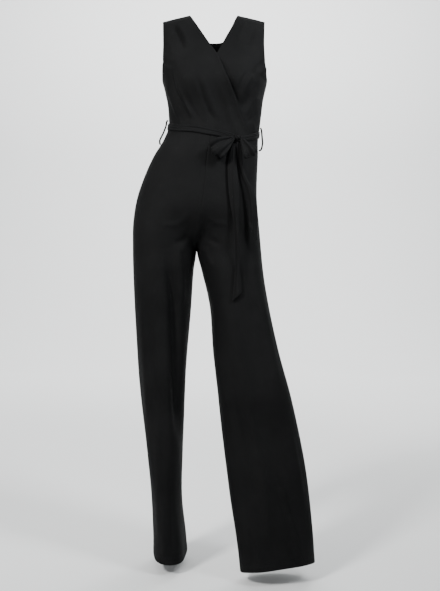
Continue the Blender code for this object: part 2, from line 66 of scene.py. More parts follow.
# %% Smooth columns
def column_of(table, name):
    header, rows = table[0], np.array(table[1:], float)
    places, values = rows[:, 0], rows[:, header.index(name)]
    slopes = np.gradient(values, places)

    def value(place):
        place = np.asarray(place, float)
        left = np.clip(np.searchsorted(places, place, side="right") - 1, 0, len(places) - 2)
        step = places[left + 1] - places[left]
        t = np.clip((place - places[left]) / step, 0, 1)
        inside = (
            values[left] * (1 + 2 * t) * (1 - t) ** 2
            + values[left + 1] * (3 - 2 * t) * t**2
            + step * (slopes[left] * t * (1 - t) ** 2 - slopes[left + 1] * t**2 * (1 - t))
        )
        before = np.minimum(place - places[0], 0) * slopes[0]
        after = np.maximum(place - places[-1], 0) * slopes[-1]
        return inside + before + after

    return value


def columns_of(table):
    return {name: column_of(table, name) for name in table[0][1:]}


print("halfway up a slope of 2:", float(column_of((("x", "y"), (0, 0), (1, 2)), "y")(0.5)))

# %% [markdown]
# ## A soft step
#
# Cloth seldom starts or stops anything suddenly. `ease` rises softly from 0 to 1 between two
# places, and most of what follows is faded in or out with it.

# %% Ease
def ease(low, high, value):
    t = np.clip((value - low) / (high - low), 0, 1)
    return t * t * (3 - 2 * t)


print("ease from 0 to 1 passes", float(ease(0, 1, 0.25)), "a quarter of the way")

# %% [markdown]
# ## The figure under the cloth
#
# The bodice and the hips are one closed form. Each row of the table is a level section with its
# own right end, left end, front, side seam and back, in metres. The top levels close over the
# shoulder like an arch.

# %% Sizes of the bodice and hips
WAIST, CROTCH = 0.338, 0.648
TORSO = (
    ("down", "right", "left", "front", "seam", "back"),
    (0.000, -0.165, 0.165, 0.000, 0.000, 0.000),
    (0.004, -0.165, 0.165, -0.025, 0.000, 0.024),
    (0.014, -0.164, 0.164, -0.045, -0.001, 0.040),
    (0.032, -0.163, 0.163, -0.063, -0.003, 0.054),
    (0.058, -0.161, 0.161, -0.079, -0.006, 0.065),
    (0.090, -0.158, 0.158, -0.094, -0.011, 0.073),
    (0.130, -0.153, 0.154, -0.114, -0.020, 0.079),
    (0.170, -0.146, 0.149, -0.136, -0.029, 0.078),
    (0.205, -0.135, 0.142, -0.149, -0.038, 0.069),
    (0.240, -0.127, 0.134, -0.151, -0.046, 0.055),
    (0.285, -0.121, 0.128, -0.149, -0.056, 0.036),
    (0.320, -0.1205, 0.1235, -0.149, -0.063, 0.024),
    (0.354, -0.133, 0.1190, -0.153, -0.065, 0.022),
    (0.400, -0.161, 0.1187, -0.161, -0.063, 0.033),
    (0.450, -0.184, 0.1165, -0.171, -0.060, 0.050),
    (0.510, -0.205, 0.1160, -0.178, -0.057, 0.066),
    (0.570, -0.215, 0.1205, -0.179, -0.058, 0.068),
    (0.648, -0.216, 0.1270, -0.173, -0.062, 0.052),
    (0.700, -0.216, 0.1310, -0.165, -0.065, 0.040),
)

torso = columns_of(TORSO)
print("waist, metres across:", round(float(torso["left"](WAIST) - torso["right"](WAIST)), 3))

# %% [markdown]
# ## Rounded sections
#
# A section of a body is a little squarer than an ellipse. `rounded` gives the place across a
# section from the sine of a turn, and `squared` goes the other way. `stack` and `unit` put
# coordinates together and bring directions to length one.

# %% Arithmetic of the sections
SQUARENESS = 2.3  # an ellipse has 2


def rounded(value):
    return np.sign(value) * np.abs(value) ** (2 / SQUARENESS)


def squared(share):
    return np.sign(share) * np.minimum(1, np.abs(share)) ** (SQUARENESS / 2)


def stack(x, y, z):
    return np.stack(np.broadcast_arrays(x, y, z), axis=-1)


def unit(vectors):
    return vectors / np.maximum(np.linalg.norm(vectors, axis=-1, keepdims=True), 1e-9)


print("halfway round an eighth of a turn:", round(float(rounded(math.sin(math.pi / 4))), 3))

# %% [markdown]
# ## Points of the bodice and hips
#
# `body_point` is the heart of the pattern: it places any point of the cloth, and moves it out by
# the height of a fold. Two soft rises give the room that the darts of any such bodice give, and
# the shoulders slope down from the neck.

# %% Body points
NECK_POINT, SHOULDER_SLOPE = 0.067, 0.19
SLOPE_END = 0.12  # the level by which the shoulder's slope has faded out
BUST = {"rise": 0.013, "apart": 0.070, "down": 0.208, "wide": 0.046, "high": 0.052}


def body_point(down, turn, out=0.0):
    sine, cosine = np.sin(np.radians(turn)), np.cos(np.radians(turn))
    right, left, seam = torso["right"](down), torso["left"](down), torso["seam"](down)
    half = (left - right) / 2
    x = (right + left) / 2 + half * rounded(sine)
    depth = np.where(cosine > 0, seam - torso["front"](down), torso["back"](down) - seam)
    across = np.exp(-(((np.abs(x) - BUST["apart"]) / BUST["wide"]) ** 2))
    bust = BUST["rise"] * across * np.exp(-(((down - BUST["down"]) / BUST["high"]) ** 2))
    y = seam - depth * rounded(cosine) - np.where(cosine > 0, bust, 0)
    drop = SHOULDER_SLOPE * np.maximum(0, np.abs(x) - NECK_POINT) * (1 - ease(0.0, SLOPE_END, down))
    away = unit(stack(np.maximum(depth, 0.01) * sine, -half * cosine, 0.0))
    return stack(x, y, -np.abs(down) - drop) + away * np.asarray(out)[..., None]


def turn_at(down, x):
    right, left = torso["right"](down), torso["left"](down)
    return np.degrees(np.arcsin(squared((2 * x - right - left) / (left - right))))


print("front of the waist is at y =", round(float(body_point(WAIST, 0.0)[1]), 3))

# %% [markdown]
# ## The dipping waist seam
#
# The waist seam and the sash on it aren't level: they dip towards the knot and rise at the side.
# `dipped` bends the levels above and below the seam to follow it, and less so further away.

# %% The waist line
WAIST_LINE = (
    ("turn", "down"),
    (-90.0, 0.3170),
    (-45.0, 0.3340),
    (-15.0, 0.3420),
    (5.0, 0.3520),
    (20.0, 0.3600),
    (33.0, 0.3650),
    (60.0, 0.3540),
    (90.0, 0.3400),
    (135.0, 0.3320),
    (180.0, 0.3280),
    (225.0, 0.3220),
    (270.0, 0.3170),
)
DIP = (0.20, 0.47)  # the levels between which the cloth follows the seam
waist_line = column_of(WAIST_LINE, "down")


def seam_down(turn):
    """How far down the waist seam is at any turn round the body."""
    return waist_line((turn + 90) % 360 - 90)


def dipped(level, turn):
    nearness = np.where(level < WAIST, ease(DIP[0], WAIST, level), 1 - ease(WAIST, DIP[1], level))
    return level + (seam_down(turn) - WAIST) * nearness


print("the seam dips, millimetres:", round(1000 * float(seam_down(33.0) - seam_down(0.0))))

# %% [markdown]
# ## The figure's legs
#
# Below the crotch each trouser leg is a tube of its own. A row of the table gives the two ends of
# a level section and how deep it is in front and behind. The left leg is a step forward, so its
# sections move towards -Y as they go down, and the leg is seen broad side on.

# %% Sizes of the legs
LEG = {
    "right": (
        ("down", "low_x", "high_x", "low_y", "high_y", "front", "back"),
        (0.520, -0.208, -0.043, -0.060, -0.060, 0.116, 0.122),
        (0.590, -0.216, -0.045, -0.061, -0.061, 0.110, 0.116),
        (0.648, -0.216, -0.046, -0.062, -0.062, 0.101, 0.106),
        (0.700, -0.2148, -0.0535, -0.063, -0.064, 0.098, 0.100),
        (0.790, -0.2110, -0.0610, -0.065, -0.064, 0.094, 0.094),
        (0.920, -0.2026, -0.0710, -0.068, -0.066, 0.089, 0.089),
        (1.050, -0.1920, -0.0767, -0.071, -0.069, 0.086, 0.086),
        (1.180, -0.1785, -0.0821, -0.074, -0.072, 0.086, 0.086),
        (1.307, -0.1650, -0.0835, -0.077, -0.075, 0.089, 0.089),
        (1.414, -0.1597, -0.0740, -0.080, -0.078, 0.093, 0.092),
        (1.454, -0.1583, -0.0716, -0.081, -0.079, 0.095, 0.094),
    ),
    "left": (
        ("down", "low_x", "high_x", "low_y", "high_y", "front", "back"),
        (0.520, -0.043, 0.116, -0.060, -0.060, 0.116, 0.122),
        (0.590, -0.045, 0.122, -0.061, -0.061, 0.110, 0.116),
        (0.648, -0.046, 0.127, -0.062, -0.062, 0.101, 0.106),
        (0.700, -0.0330, 0.1315, -0.073, -0.070, 0.097, 0.100),
        (0.790, -0.0121, 0.1441, -0.093, -0.083, 0.092, 0.093),
        (0.918, -0.0014, 0.1691, -0.117, -0.100, 0.084, 0.084),
        (1.041, 0.0144, 0.2014, -0.139, -0.117, 0.077, 0.076),
        (1.162, 0.0299, 0.2253, -0.160, -0.133, 0.070, 0.069),
        (1.281, 0.0450, 0.2412, -0.181, -0.149, 0.064, 0.064),
        (1.378, 0.0600, 0.2500, -0.197, -0.161, 0.061, 0.061),
        (1.452, 0.0673, 0.2546, -0.208, -0.169, 0.060, 0.060),
    ),
}
legs = {side: columns_of(table) for side, table in LEG.items()}
print("left hem, metres from end to end:", round(float(np.ptp(LEG["left"][-1][1:3])), 3))

# %% [markdown]
# ## Points of the legs
#
# `leg_point` does for a leg what `body_point` does for the hips. Above the crotch both legs share
# their inner end. The hems aren't level either: each is tilted, and the middle of the left one is
# lifted a little in front, as a hem is that hangs over a foot.

# %% Leg points
CROTCH_POINT = (-0.046, -0.062)
HEM = {"right": 1.454, "left": 1.452}
HEM_TILT = {"right": -0.050, "left": 0.073}
HEM_ARCH = {"right": 0.0, "left": 0.014}


def leg_point(side, down, turn, out=0.0):
    leg = legs[side]
    low = stack(leg["low_x"](down), leg["low_y"](down), 0.0)
    high = stack(leg["high_x"](down), leg["high_y"](down), 0.0)
    above = (np.asarray(down) < CROTCH)[..., None]
    inner = np.array((*CROTCH_POINT, 0.0))
    if side == "right":
        high = np.where(above, inner, high)
    else:
        low = np.where(above, inner, low)
    half = (high - low) / 2
    ahead = unit(stack(half[..., 1], -half[..., 0], 0.0))
    sine = np.sin(np.radians(turn))[..., None]
    cosine = np.cos(np.radians(turn))[..., None]
    depth = np.where(cosine > 0, leg["front"](down)[..., None], leg["back"](down)[..., None])
    point = (low + high) / 2 + half * rounded(sine) + ahead * depth * rounded(cosine)
    tilt = HEM_TILT[side] * (point[..., 0] - (low[..., 0] + high[..., 0]) / 2)
    arch = HEM_ARCH[side] * np.maximum(0.0, rounded(cosine))[..., 0]
    point[..., 2] = -down + ease(CROTCH, HEM[side], down) * (tilt + arch)
    return point + (unit(half) * sine + ahead * cosine) * np.asarray(out)[..., None]


lifted = leg_point("left", HEM["left"], 0.0)[2] + HEM["left"]
print("the left hem is lifted in front, millimetres:", round(1000 * float(lifted)))

# %% [markdown]
# ## Large folds placed one by one
#
# Crepe jersey falls in long soft folds. Each row of the table is one fold of a panel: its route as
# (x, down) places, how far it rises or sinks, and how far from its route it reaches. A simulation
# would settle the cloth somewhere, but not where this garment's own folds lie, so they are drawn
# on one by one.

# %% The large folds
FOLDS = {
    "bodice_front_over": (
        (((-0.118, 0.150), (-0.098, 0.215), (-0.070, 0.285)), -0.0040, 0.012),
        (((-0.112, 0.030), (-0.090, 0.075), (-0.078, 0.110)), -0.0035, 0.011),
        (((-0.045, 0.215), (-0.012, 0.300)), 0.0025, 0.012),
    ),
    "bodice_front_under": (
        (((0.105, 0.195), (0.085, 0.255)), 0.0020, 0.012),
    ),
    "bodice_back": (
        (((0.090, 0.180), (0.060, 0.290)), 0.0035, 0.014),
        (((-0.085, 0.190), (-0.062, 0.290)), 0.0030, 0.014),
    ),
    "trouser_front_right": (
        (
            ((-0.119, 0.655), (-0.100, 0.785), (-0.096, 0.910), (-0.093, 1.043), (-0.090, 1.156)),
            -0.0190,
            0.0130,
        ),
    ),
    "trouser_front_left": (
        (((0.030, 0.780), (0.060, 0.900), (0.100, 1.060)), 0.0050, 0.022),
        (((0.172, 1.270), (0.205, 1.380)), -0.0050, 0.016),
    ),
    "trouser_back_right": (
        (((-0.150, 0.700), (-0.140, 0.900), (-0.128, 1.200)), -0.0100, 0.018),
    ),
    "trouser_back_left": (
        (((0.040, 0.720), (0.085, 0.930), (0.140, 1.250)), -0.0090, 0.020),
    ),
}
print("large folds:", sum(len(rows) for rows in FOLDS.values()))

# %% [markdown]
# ## Smaller creases
#
# Between the large folds there are finer ones. They are as uneven as in a real garment: each has
# its own length, depth and width, and they gather where the cloth is pulled: from the side seam
# and the armhole towards the wrap, beside the wrap edge, under the bust, at the crotch and at the
# backs of the knees. The back has similar ones, and the wide hems have long ridges and diagonal
# pulls.

# %% The small creases
CREASES = {
    "bodice_front_over": (
        (((-0.116, 0.172), (-0.100, 0.235), (-0.080, 0.278), (-0.058, 0.318)), -0.0050, 0.0055),
        (((-0.110, 0.180), (-0.090, 0.240), (-0.068, 0.286), (-0.050, 0.320)), 0.0040, 0.0065),
        (((-0.044, 0.205), (-0.026, 0.262), (0.000, 0.322)), -0.0040, 0.0056),
        (((-0.032, 0.200), (-0.012, 0.258), (0.014, 0.324)), 0.0032, 0.0070),
        (((-0.128, 0.205), (-0.112, 0.255), (-0.094, 0.300)), 0.0024, 0.0055),
        (((-0.124, 0.240), (-0.108, 0.290), (-0.096, 0.318)), -0.0022, 0.0050),
        (((-0.078, 0.240), (-0.052, 0.292), (-0.030, 0.326)), -0.0018, 0.0050),
        (((-0.004, 0.210), (0.020, 0.275), (0.036, 0.335)), -0.0016, 0.0050),
        (((0.020, 0.230), (0.040, 0.290), (0.052, 0.345)), 0.0016, 0.0050),
        (((-0.110, 0.032), (-0.094, 0.077), (-0.078, 0.128)), -0.0044, 0.0058),
        (((-0.098, 0.030), (-0.079, 0.070), (-0.062, 0.118)), 0.0030, 0.0070),
        (((-0.130, 0.070), (-0.112, 0.110), (-0.104, 0.140)), 0.0016, 0.0070),
        (((-0.140, 0.140), (-0.118, 0.158), (-0.100, 0.162)), -0.0018, 0.0060),
        (((-0.134, 0.158), (-0.110, 0.180)), 0.0018, 0.0055),
        (((-0.034, 0.120), (-0.010, 0.165), (0.010, 0.200)), 0.0012, 0.0080),
        (((-0.060, 0.312), (-0.052, 0.340)), 0.0016, 0.0040),
        (((-0.090, 0.306), (-0.083, 0.334)), 0.0015, 0.0040),
        (((-0.026, 0.318), (-0.020, 0.346)), -0.0014, 0.0040),
        (((0.006, 0.325), (0.014, 0.352)), 0.0015, 0.0040),
        (((0.060, 0.322), (0.056, 0.358)), 0.0014, 0.0040),
    ),
    "bodice_front_under": (
        (((0.066, 0.276), (0.084, 0.232), (0.110, 0.186)), 0.0028, 0.0055),
        (((0.060, 0.258), (0.078, 0.212), (0.096, 0.182)), -0.0024, 0.0055),
        (((0.074, 0.290), (0.098, 0.244), (0.122, 0.206)), -0.0024, 0.0055),
        (((0.084, 0.304), (0.106, 0.262), (0.126, 0.246)), 0.0024, 0.0050),
        (((0.092, 0.320), (0.118, 0.288)), -0.0018, 0.0045),
        (((0.010, 0.140), (0.042, 0.213), (0.072, 0.284)), -0.0068, 0.0055),
        (((0.140, 0.142), (0.118, 0.168), (0.104, 0.200)), -0.0024, 0.0055),
        (((0.142, 0.160), (0.124, 0.186)), 0.0020, 0.0050),
        (((0.114, 0.036), (0.096, 0.084), (0.086, 0.120)), -0.0022, 0.0070),
        (((0.088, 0.022), (0.072, 0.070), (0.064, 0.100)), 0.0018, 0.0065),
        (((0.108, 0.316), (0.112, 0.342)), 0.0015, 0.0040),
    ),
    "bodice_back": (
        (((-0.112, 0.226), (-0.050, 0.262), (0.020, 0.262)), 0.0030, 0.0070),
        (((-0.104, 0.244), (-0.046, 0.276), (0.010, 0.278)), -0.0026, 0.0060),
        (((0.116, 0.240), (0.060, 0.276), (-0.010, 0.290)), 0.0030, 0.0065),
        (((0.112, 0.262), (0.058, 0.292), (0.010, 0.302)), -0.0024, 0.0055),
        (((-0.096, 0.286), (-0.034, 0.304), (0.030, 0.310)), 0.0022, 0.0050),
        (((0.128, 0.156), (0.098, 0.205)), -0.0026, 0.0065),
        (((0.118, 0.146), (0.086, 0.196)), 0.0022, 0.0065),
        (((-0.128, 0.150), (-0.100, 0.200)), -0.0026, 0.0065),
        (((-0.118, 0.136), (-0.088, 0.192)), 0.0022, 0.0065),
        (((0.046, 0.070), (0.036, 0.150), (0.038, 0.230)), 0.0028, 0.0120),
        (((-0.050, 0.080), (-0.042, 0.160), (-0.034, 0.240)), 0.0026, 0.0120),
        (((-0.002, 0.090), (-0.004, 0.160), (0.000, 0.230)), -0.0024, 0.0160),
        (((0.020, 0.296), (0.024, 0.324)), 0.0015, 0.0045),
        (((-0.050, 0.294), (-0.048, 0.320)), 0.0015, 0.0045),
        (((0.066, 0.294), (0.070, 0.324)), -0.0014, 0.0045),
    ),
    "trouser_front_right": (
        (((-0.092, 0.640), (-0.082, 0.720), (-0.080, 0.800)), 0.0053, 0.0085),
        (((-0.052, 0.585), (-0.075, 0.625), (-0.105, 0.640)), -0.0033, 0.0068),
        (((-0.056, 0.560), (-0.090, 0.590), (-0.130, 0.592)), 0.0024, 0.0068),
        (((-0.058, 0.620), (-0.085, 0.660)), 0.0024, 0.0059),
        (((-0.185, 0.770), (-0.178, 0.930), (-0.168, 1.110)), 0.0045, 0.0102),
        (((-0.160, 0.820), (-0.154, 0.980), (-0.150, 1.060)), -0.0045, 0.0093),
        (((-0.145, 1.080), (-0.138, 1.240), (-0.136, 1.400)), 0.0045, 0.0102),
        (((-0.110, 1.200), (-0.106, 1.330), (-0.102, 1.440)), -0.0053, 0.0085),
        (((-0.128, 1.300), (-0.122, 1.455)), 0.0037, 0.0068),
        (((-0.170, 0.440), (-0.180, 0.520)), 0.0015, 0.0085),
        (((-0.080, 0.352), (-0.088, 0.386)), 0.0015, 0.0051),
        (((-0.040, 0.362), (-0.044, 0.395)), -0.0015, 0.0051),
    ),
    "trouser_front_left": (
        (((-0.036, 0.590), (-0.010, 0.625), (0.020, 0.640)), -0.0033, 0.0068),
        (((-0.030, 0.560), (0.005, 0.585), (0.040, 0.590)), 0.0023, 0.0068),
        (((-0.028, 0.640), (-0.004, 0.700)), 0.0027, 0.0068),
        (((0.092, 0.620), (0.090, 0.740), (0.112, 0.860)), -0.0045, 0.0119),
        (((0.120, 0.760), (0.146, 0.900), (0.170, 1.020)), 0.0045, 0.0102),
        (((0.040, 1.000), (0.070, 1.150), (0.095, 1.300)), -0.0053, 0.0127),
        (((0.080, 1.020), (0.118, 1.200), (0.140, 1.400)), 0.0053, 0.0119),
        (((0.190, 1.100), (0.212, 1.240), (0.222, 1.330)), 0.0045, 0.0102),
        (((0.160, 1.240), (0.190, 1.330), (0.212, 1.420)), 0.0042, 0.0076),
        (((0.192, 1.390), (0.216, 1.440)), 0.0045, 0.0068),
        (((0.090, 1.330), (0.104, 1.450)), -0.0042, 0.0085),
        (((0.050, 0.372), (0.048, 0.402)), -0.0018, 0.0051),
        (((0.020, 0.366), (0.016, 0.398)), 0.0015, 0.0051),
    ),
    "trouser_back_right": (
        (((-0.060, 0.600), (-0.100, 0.640), (-0.150, 0.650)), 0.0037, 0.0076),
        (((-0.065, 0.640), (-0.110, 0.675), (-0.160, 0.690)), -0.0036, 0.0076),
        (((-0.100, 0.700), (-0.096, 0.900), (-0.098, 1.100)), 0.0060, 0.0119),
        (((-0.185, 0.750), (-0.176, 0.950), (-0.160, 1.150)), 0.0053, 0.0110),
        (((-0.110, 1.020), (-0.140, 1.045), (-0.165, 1.040)), 0.0024, 0.0068),
        (((-0.120, 1.150), (-0.118, 1.300), (-0.112, 1.455)), 0.0060, 0.0102),
        (((-0.145, 1.220), (-0.142, 1.455)), -0.0060, 0.0093),
        (((-0.110, 0.440), (-0.125, 0.520), (-0.130, 0.570)), 0.0018, 0.0119),
        (((-0.080, 0.345), (-0.090, 0.400)), 0.0016, 0.0065),
        (((-0.120, 0.345), (-0.135, 0.410)), -0.0016, 0.0065),
        (((-0.045, 0.380), (-0.052, 0.480)), 0.0014, 0.0100),
        (((-0.150, 0.560), (-0.190, 0.620)), -0.0022, 0.0080),
    ),
    "trouser_back_left": (
        (((-0.030, 0.600), (0.010, 0.642), (0.060, 0.650)), 0.0037, 0.0076),
        (((-0.020, 0.650), (0.020, 0.682), (0.070, 0.690)), -0.0036, 0.0076),
        (((0.090, 0.700), (0.120, 0.900), (0.160, 1.080)), 0.0060, 0.0127),
        (((0.010, 0.760), (0.035, 0.950), (0.070, 1.180)), 0.0053, 0.0110),
        (((0.050, 1.030), (0.090, 1.055), (0.150, 1.040)), 0.0027, 0.0068),
        (((0.110, 1.140), (0.150, 1.300), (0.168, 1.440)), 0.0060, 0.0110),
        (((0.180, 1.150), (0.205, 1.300), (0.215, 1.440)), -0.0053, 0.0102),
        (((0.060, 0.440), (0.070, 0.520), (0.068, 0.570)), 0.0018, 0.0119),
        (((0.030, 0.345), (0.034, 0.400)), 0.0016, 0.0065),
        (((0.072, 0.350), (0.078, 0.400)), -0.0016, 0.0065),
        (((-0.020, 0.380), (-0.010, 0.480)), 0.0014, 0.0100),
        (((0.060, 0.570), (0.100, 0.630)), -0.0022, 0.0080),
    ),
}
print("small creases:", sum(len(rows) for rows in CREASES.values()))

# %% [markdown]
# ## How a fold lifts the cloth
#
# `near_route` measures how far a place is from a fold's route. `fold_rise` adds up the panel's
# folds there. A fold is round across, and it fades out towards both its ends, so that none stops
# bluntly.

# %% Folds as relief
ALL_FOLDS = {panel: FOLDS[panel] + CREASES[panel] for panel in CREASES}
FADE, OVERRUN = 0.30, 0.06  # share of a fold's length that fades, and how far it runs on past its end


def near_route(x, down, route):
    """How far each place is from a route of straight stretches, and how far along it, from 0 to 1."""
    shape = np.broadcast(x, down).shape
    nearest, along = np.full(shape, 1.0), np.zeros(shape)
    stretches = [math.dist(start, end) for start, end in zip(route, route[1:])]
    done = 0.0
    for (x0, d0), (x1, d1), length in zip(route, route[1:], stretches):
        share = np.clip(((x - x0) * (x1 - x0) + (down - d0) * (d1 - d0)) / length**2, 0, 1)
        away = np.hypot(x - x0 - share * (x1 - x0), down - d0 - share * (d1 - d0))
        along = np.where(away < nearest, (done + share * length) / sum(stretches), along)
        nearest = np.minimum(nearest, away)
        done += length
    return nearest, along


def fold_rise(folds, x, down):
    total = np.zeros(np.broadcast(x, down).shape)
    for route, rise, reach in folds:
        away, along = near_route(x, down, route)
        fade = ease(0.0, FADE, along + OVERRUN) * ease(0.0, FADE, 1 + OVERRUN - along)
        total += rise * fade * np.exp(-((away / reach) ** 2))
    return total


deepest = min(rise for rows in ALL_FOLDS.values() for _, rise, _ in rows)
print("deepest fold, millimetres:", round(1000 * deepest, 1))

# %% [markdown]
# ## How cloth hangs between its folds
#
# Away from the folds the cloth is never a perfect tube. `hang` adds long shallow waves that are
# the same function of the angle on the front and the back, so the two meet at the side seams.
# They grow towards the hem, where nothing holds the cloth.

# %% Waves of hanging cloth
HANG = (
    ("down", "trousers"),
    (0.338, 0.0003),
    (0.450, 0.0006),
    (0.600, 0.0008),
    (0.800, 0.0015),
    (1.100, 0.0022),
    (1.454, 0.0032),
)
hang_depth = column_of(HANG, "trousers")


def hang(angle, level):
    a = np.radians(angle)
    slow = np.sin(2 * a + 9.0 * level + 0.6) + 0.7 * np.sin(3 * a - 12.0 * level + 2.1)
    quick = 0.45 * np.sin(5 * a + 16.0 * level) + 0.3 * np.sin(7 * a - 23.0 * level + 1.2)
    return hang_depth(level) * (slow + quick) / 2


print("waves at the hem, millimetres deep:", round(1000 * float(hang_depth(HEM["right"])), 1))

# %% [markdown]
# ## Armholes and wrap edges
#
# The edges of the bodice fronts are lines across the body. `side_turn` is where a front ends at
# the armhole or, below the underarm, at the side seam. `wrap_turn` is where its neck and wrap edge
# runs: the wearer's right front laps over the left one, so its edge runs down across the body.

# %% Edges of the fronts
UNDERARM = 0.192
WRAP_END = 54.0  # degrees from centre front at which each wrap edge meets the waist seam
ARMHOLE = (
    ("down", "share"),
    (0.000, 0.848),
    (0.050, 0.850),
    (0.100, 0.868),
    (0.148, 0.912),
    (0.170, 0.945),
    (0.184, 0.976),
    (0.192, 1.000),
)
NECKLINE = (
    ("down", "over", "under"),
    (0.000, -0.0670, 0.0670),
    (0.022, -0.0570, 0.0590),
    (0.050, -0.0420, 0.0490),
    (0.083, -0.0230, 0.0330),
    (0.110, -0.0070, 0.0205),
    (0.1354, 0.0086, 0.0086),
    (0.1955, 0.0300, -0.0128),
    (0.2500, 0.0535, -0.0363),
    (0.2800, 0.0680, -0.0520),
)
armhole_share = column_of(ARMHOLE, "share")
neckline = columns_of(NECKLINE)


def side_turn(level):
    share = np.minimum(1.0, armhole_share(level))
    return np.where(level >= UNDERARM, 90.0, np.degrees(np.arcsin(share ** (SQUARENESS / 2))))


def wrap_turn(level, front):
    end = WRAP_END if front == "over" else -WRAP_END
    last = NECKLINE[-1][0]
    start = turn_at(last, neckline[front](last))
    below = start + (end - start) * (level - last) / (WAIST - last)
    return np.where(level <= last, turn_at(level, neckline[front](level)), below)


print("side of the bodice at the underarm, degrees:", float(side_turn(UNDERARM)))

# %% [markdown]
# ## The two wrapped fronts
#
# Each front is a grid of places between its side and its wrap edge. The under front lies a few
# millimetres inside the over one and follows its large hollows, so that the two never cross. It
# comes out to the side seam again, and its own folds begin only past the wrap edge, where they
# show. The wrap edge stands off a little, which gives it its shadow.

# %% The bodice fronts as surfaces
SHOULDER_FADE, WAIST_FADE = 0.03, 0.02  # folds fade out this close to the seams
UNDER = {"inside": 0.0032, "levels": (0.03, 0.11), "side": 26.0, "clear": 0.01}
LIFT = {"rise": 0.0024, "reach": 0.07, "starts": (0.10, 0.16), "ends": (0.30, 0.335)}


def bodice_front(front):
    panel = "bodice_front_" + front
    hollows = [(route, rise, reach) for route, rise, reach in FOLDS["bodice_front_over"] if rise < 0]
    last_level = NECKLINE[-1][0]

    def surface(level, share):
        edge, side = wrap_turn(level, front), side_turn(level)
        first, last = (-side, edge) if front == "over" else (edge, side)
        turn = first + (last - first) * share
        down = dipped(level, turn)
        x = body_point(down, turn)[..., 0]
        out = fold_rise(ALL_FOLDS[panel], x, down)
        if front == "under":
            from_wrap = x - neckline["over"](np.minimum(level, last_level))
            inside = ease(*UNDER["levels"], level) * ease(0.0, UNDER["side"], side - turn)
            out = out * ease(-UNDER["clear"], UNDER["clear"], from_wrap)
            out = out + inside * (fold_rise(hollows, x, down) - UNDER["inside"])
        else:
            from_edge = (1 - share) * (last - first) / 90
            lifted = ease(*LIFT["starts"], level) * (1 - ease(*LIFT["ends"], level))
            out = out + LIFT["rise"] * lifted * np.exp(-((from_edge / LIFT["reach"]) ** 2))
            out = out * ease(0.0, SHOULDER_FADE, level) * ease(0.0, WAIST_FADE, WAIST - level)
        return body_point(down, turn, out)

    return surface


over_front, under_front = bodice_front("over"), bodice_front("under")
print("middle of the over front at the waist:", over_front(WAIST, 0.5).round(3).tolist())

# %% [markdown]
# ## The back of the bodice
#
# The back is one piece whose top edge is scooped out for the neck: its middle columns start lower
# and its outer ones run from the shoulder seams. Lower down all columns are evenly spaced.

# %% The bodice back as a surface
BACK_NECK_DROP = 0.050
NECK_SHARE = 0.4  # how much of the back's width the neck takes
SETTLED = 0.15  # the level from which the columns are evenly spaced


def bodice_back(level, share):
    side = 2 * share - 1
    neck_turn = turn_at(0.0, NECK_POINT)
    outside = np.maximum(0.0, np.abs(side) - NECK_SHARE) / (1 - NECK_SHARE)
    within = np.minimum(np.abs(side), NECK_SHARE) / NECK_SHARE
    top_turn = np.sign(side) * ((side_turn(0.0) - neck_turn) * outside + neck_turn * within)
    spread = side_turn(level) / side_turn(0.0)
    settled = ease(0.0, SETTLED, level)
    turn = 180 + (1 - settled) * spread * top_turn + settled * side_turn(level) * side
    drop = BACK_NECK_DROP * np.sqrt(np.maximum(0, 1 - within**2))
    down = dipped(level + drop * (1 - level / WAIST), turn)
    x = body_point(down, turn)[..., 0]
    edges = ease(0.0, WAIST_FADE, WAIST - level)
    return body_point(down, turn, fold_rise(ALL_FOLDS["bodice_back"], x, down) * edges)


print("back neck, metres down:", round(-float(bodice_back(0.0, 0.5)[2]), 3))

# %% [markdown]
# ## The four trouser panels
#
# At the waist the four panels share one closed form. From the seat down each leg closes round
# itself: the cloth near the crotch leaves the hips last and quickly, the cloth at the side slowly.
# `weight` is how far a place has gone from the hips to the leg.

# %% The trousers as surfaces
SEAT, THIGH = 0.530, 0.710
RISE_START = {"front": 0.545, "back": 0.515}
SEAM_HOLD = 12  # how closely cloth keeps to the centre seam above the crotch
SEAM_GAP = 0.0003
SEAM_FADE = 0.16  # share of a panel's width over which its folds fade out at the seams
WAVES_FULL = 0.75  # the level from which the cloth hangs free
RIGHT_WAVES = 70  # degrees by which the waves of the right leg differ from the left one's
CENTRE_SEAM = (
    ("down", "turn"),
    (0.338, 0.0),
    (0.400, 2.0),
    (0.500, 5.0),
    (0.580, 3.0),
    (0.648, 0.0),
)
centre_seam = column_of(CENTRE_SEAM, "turn")


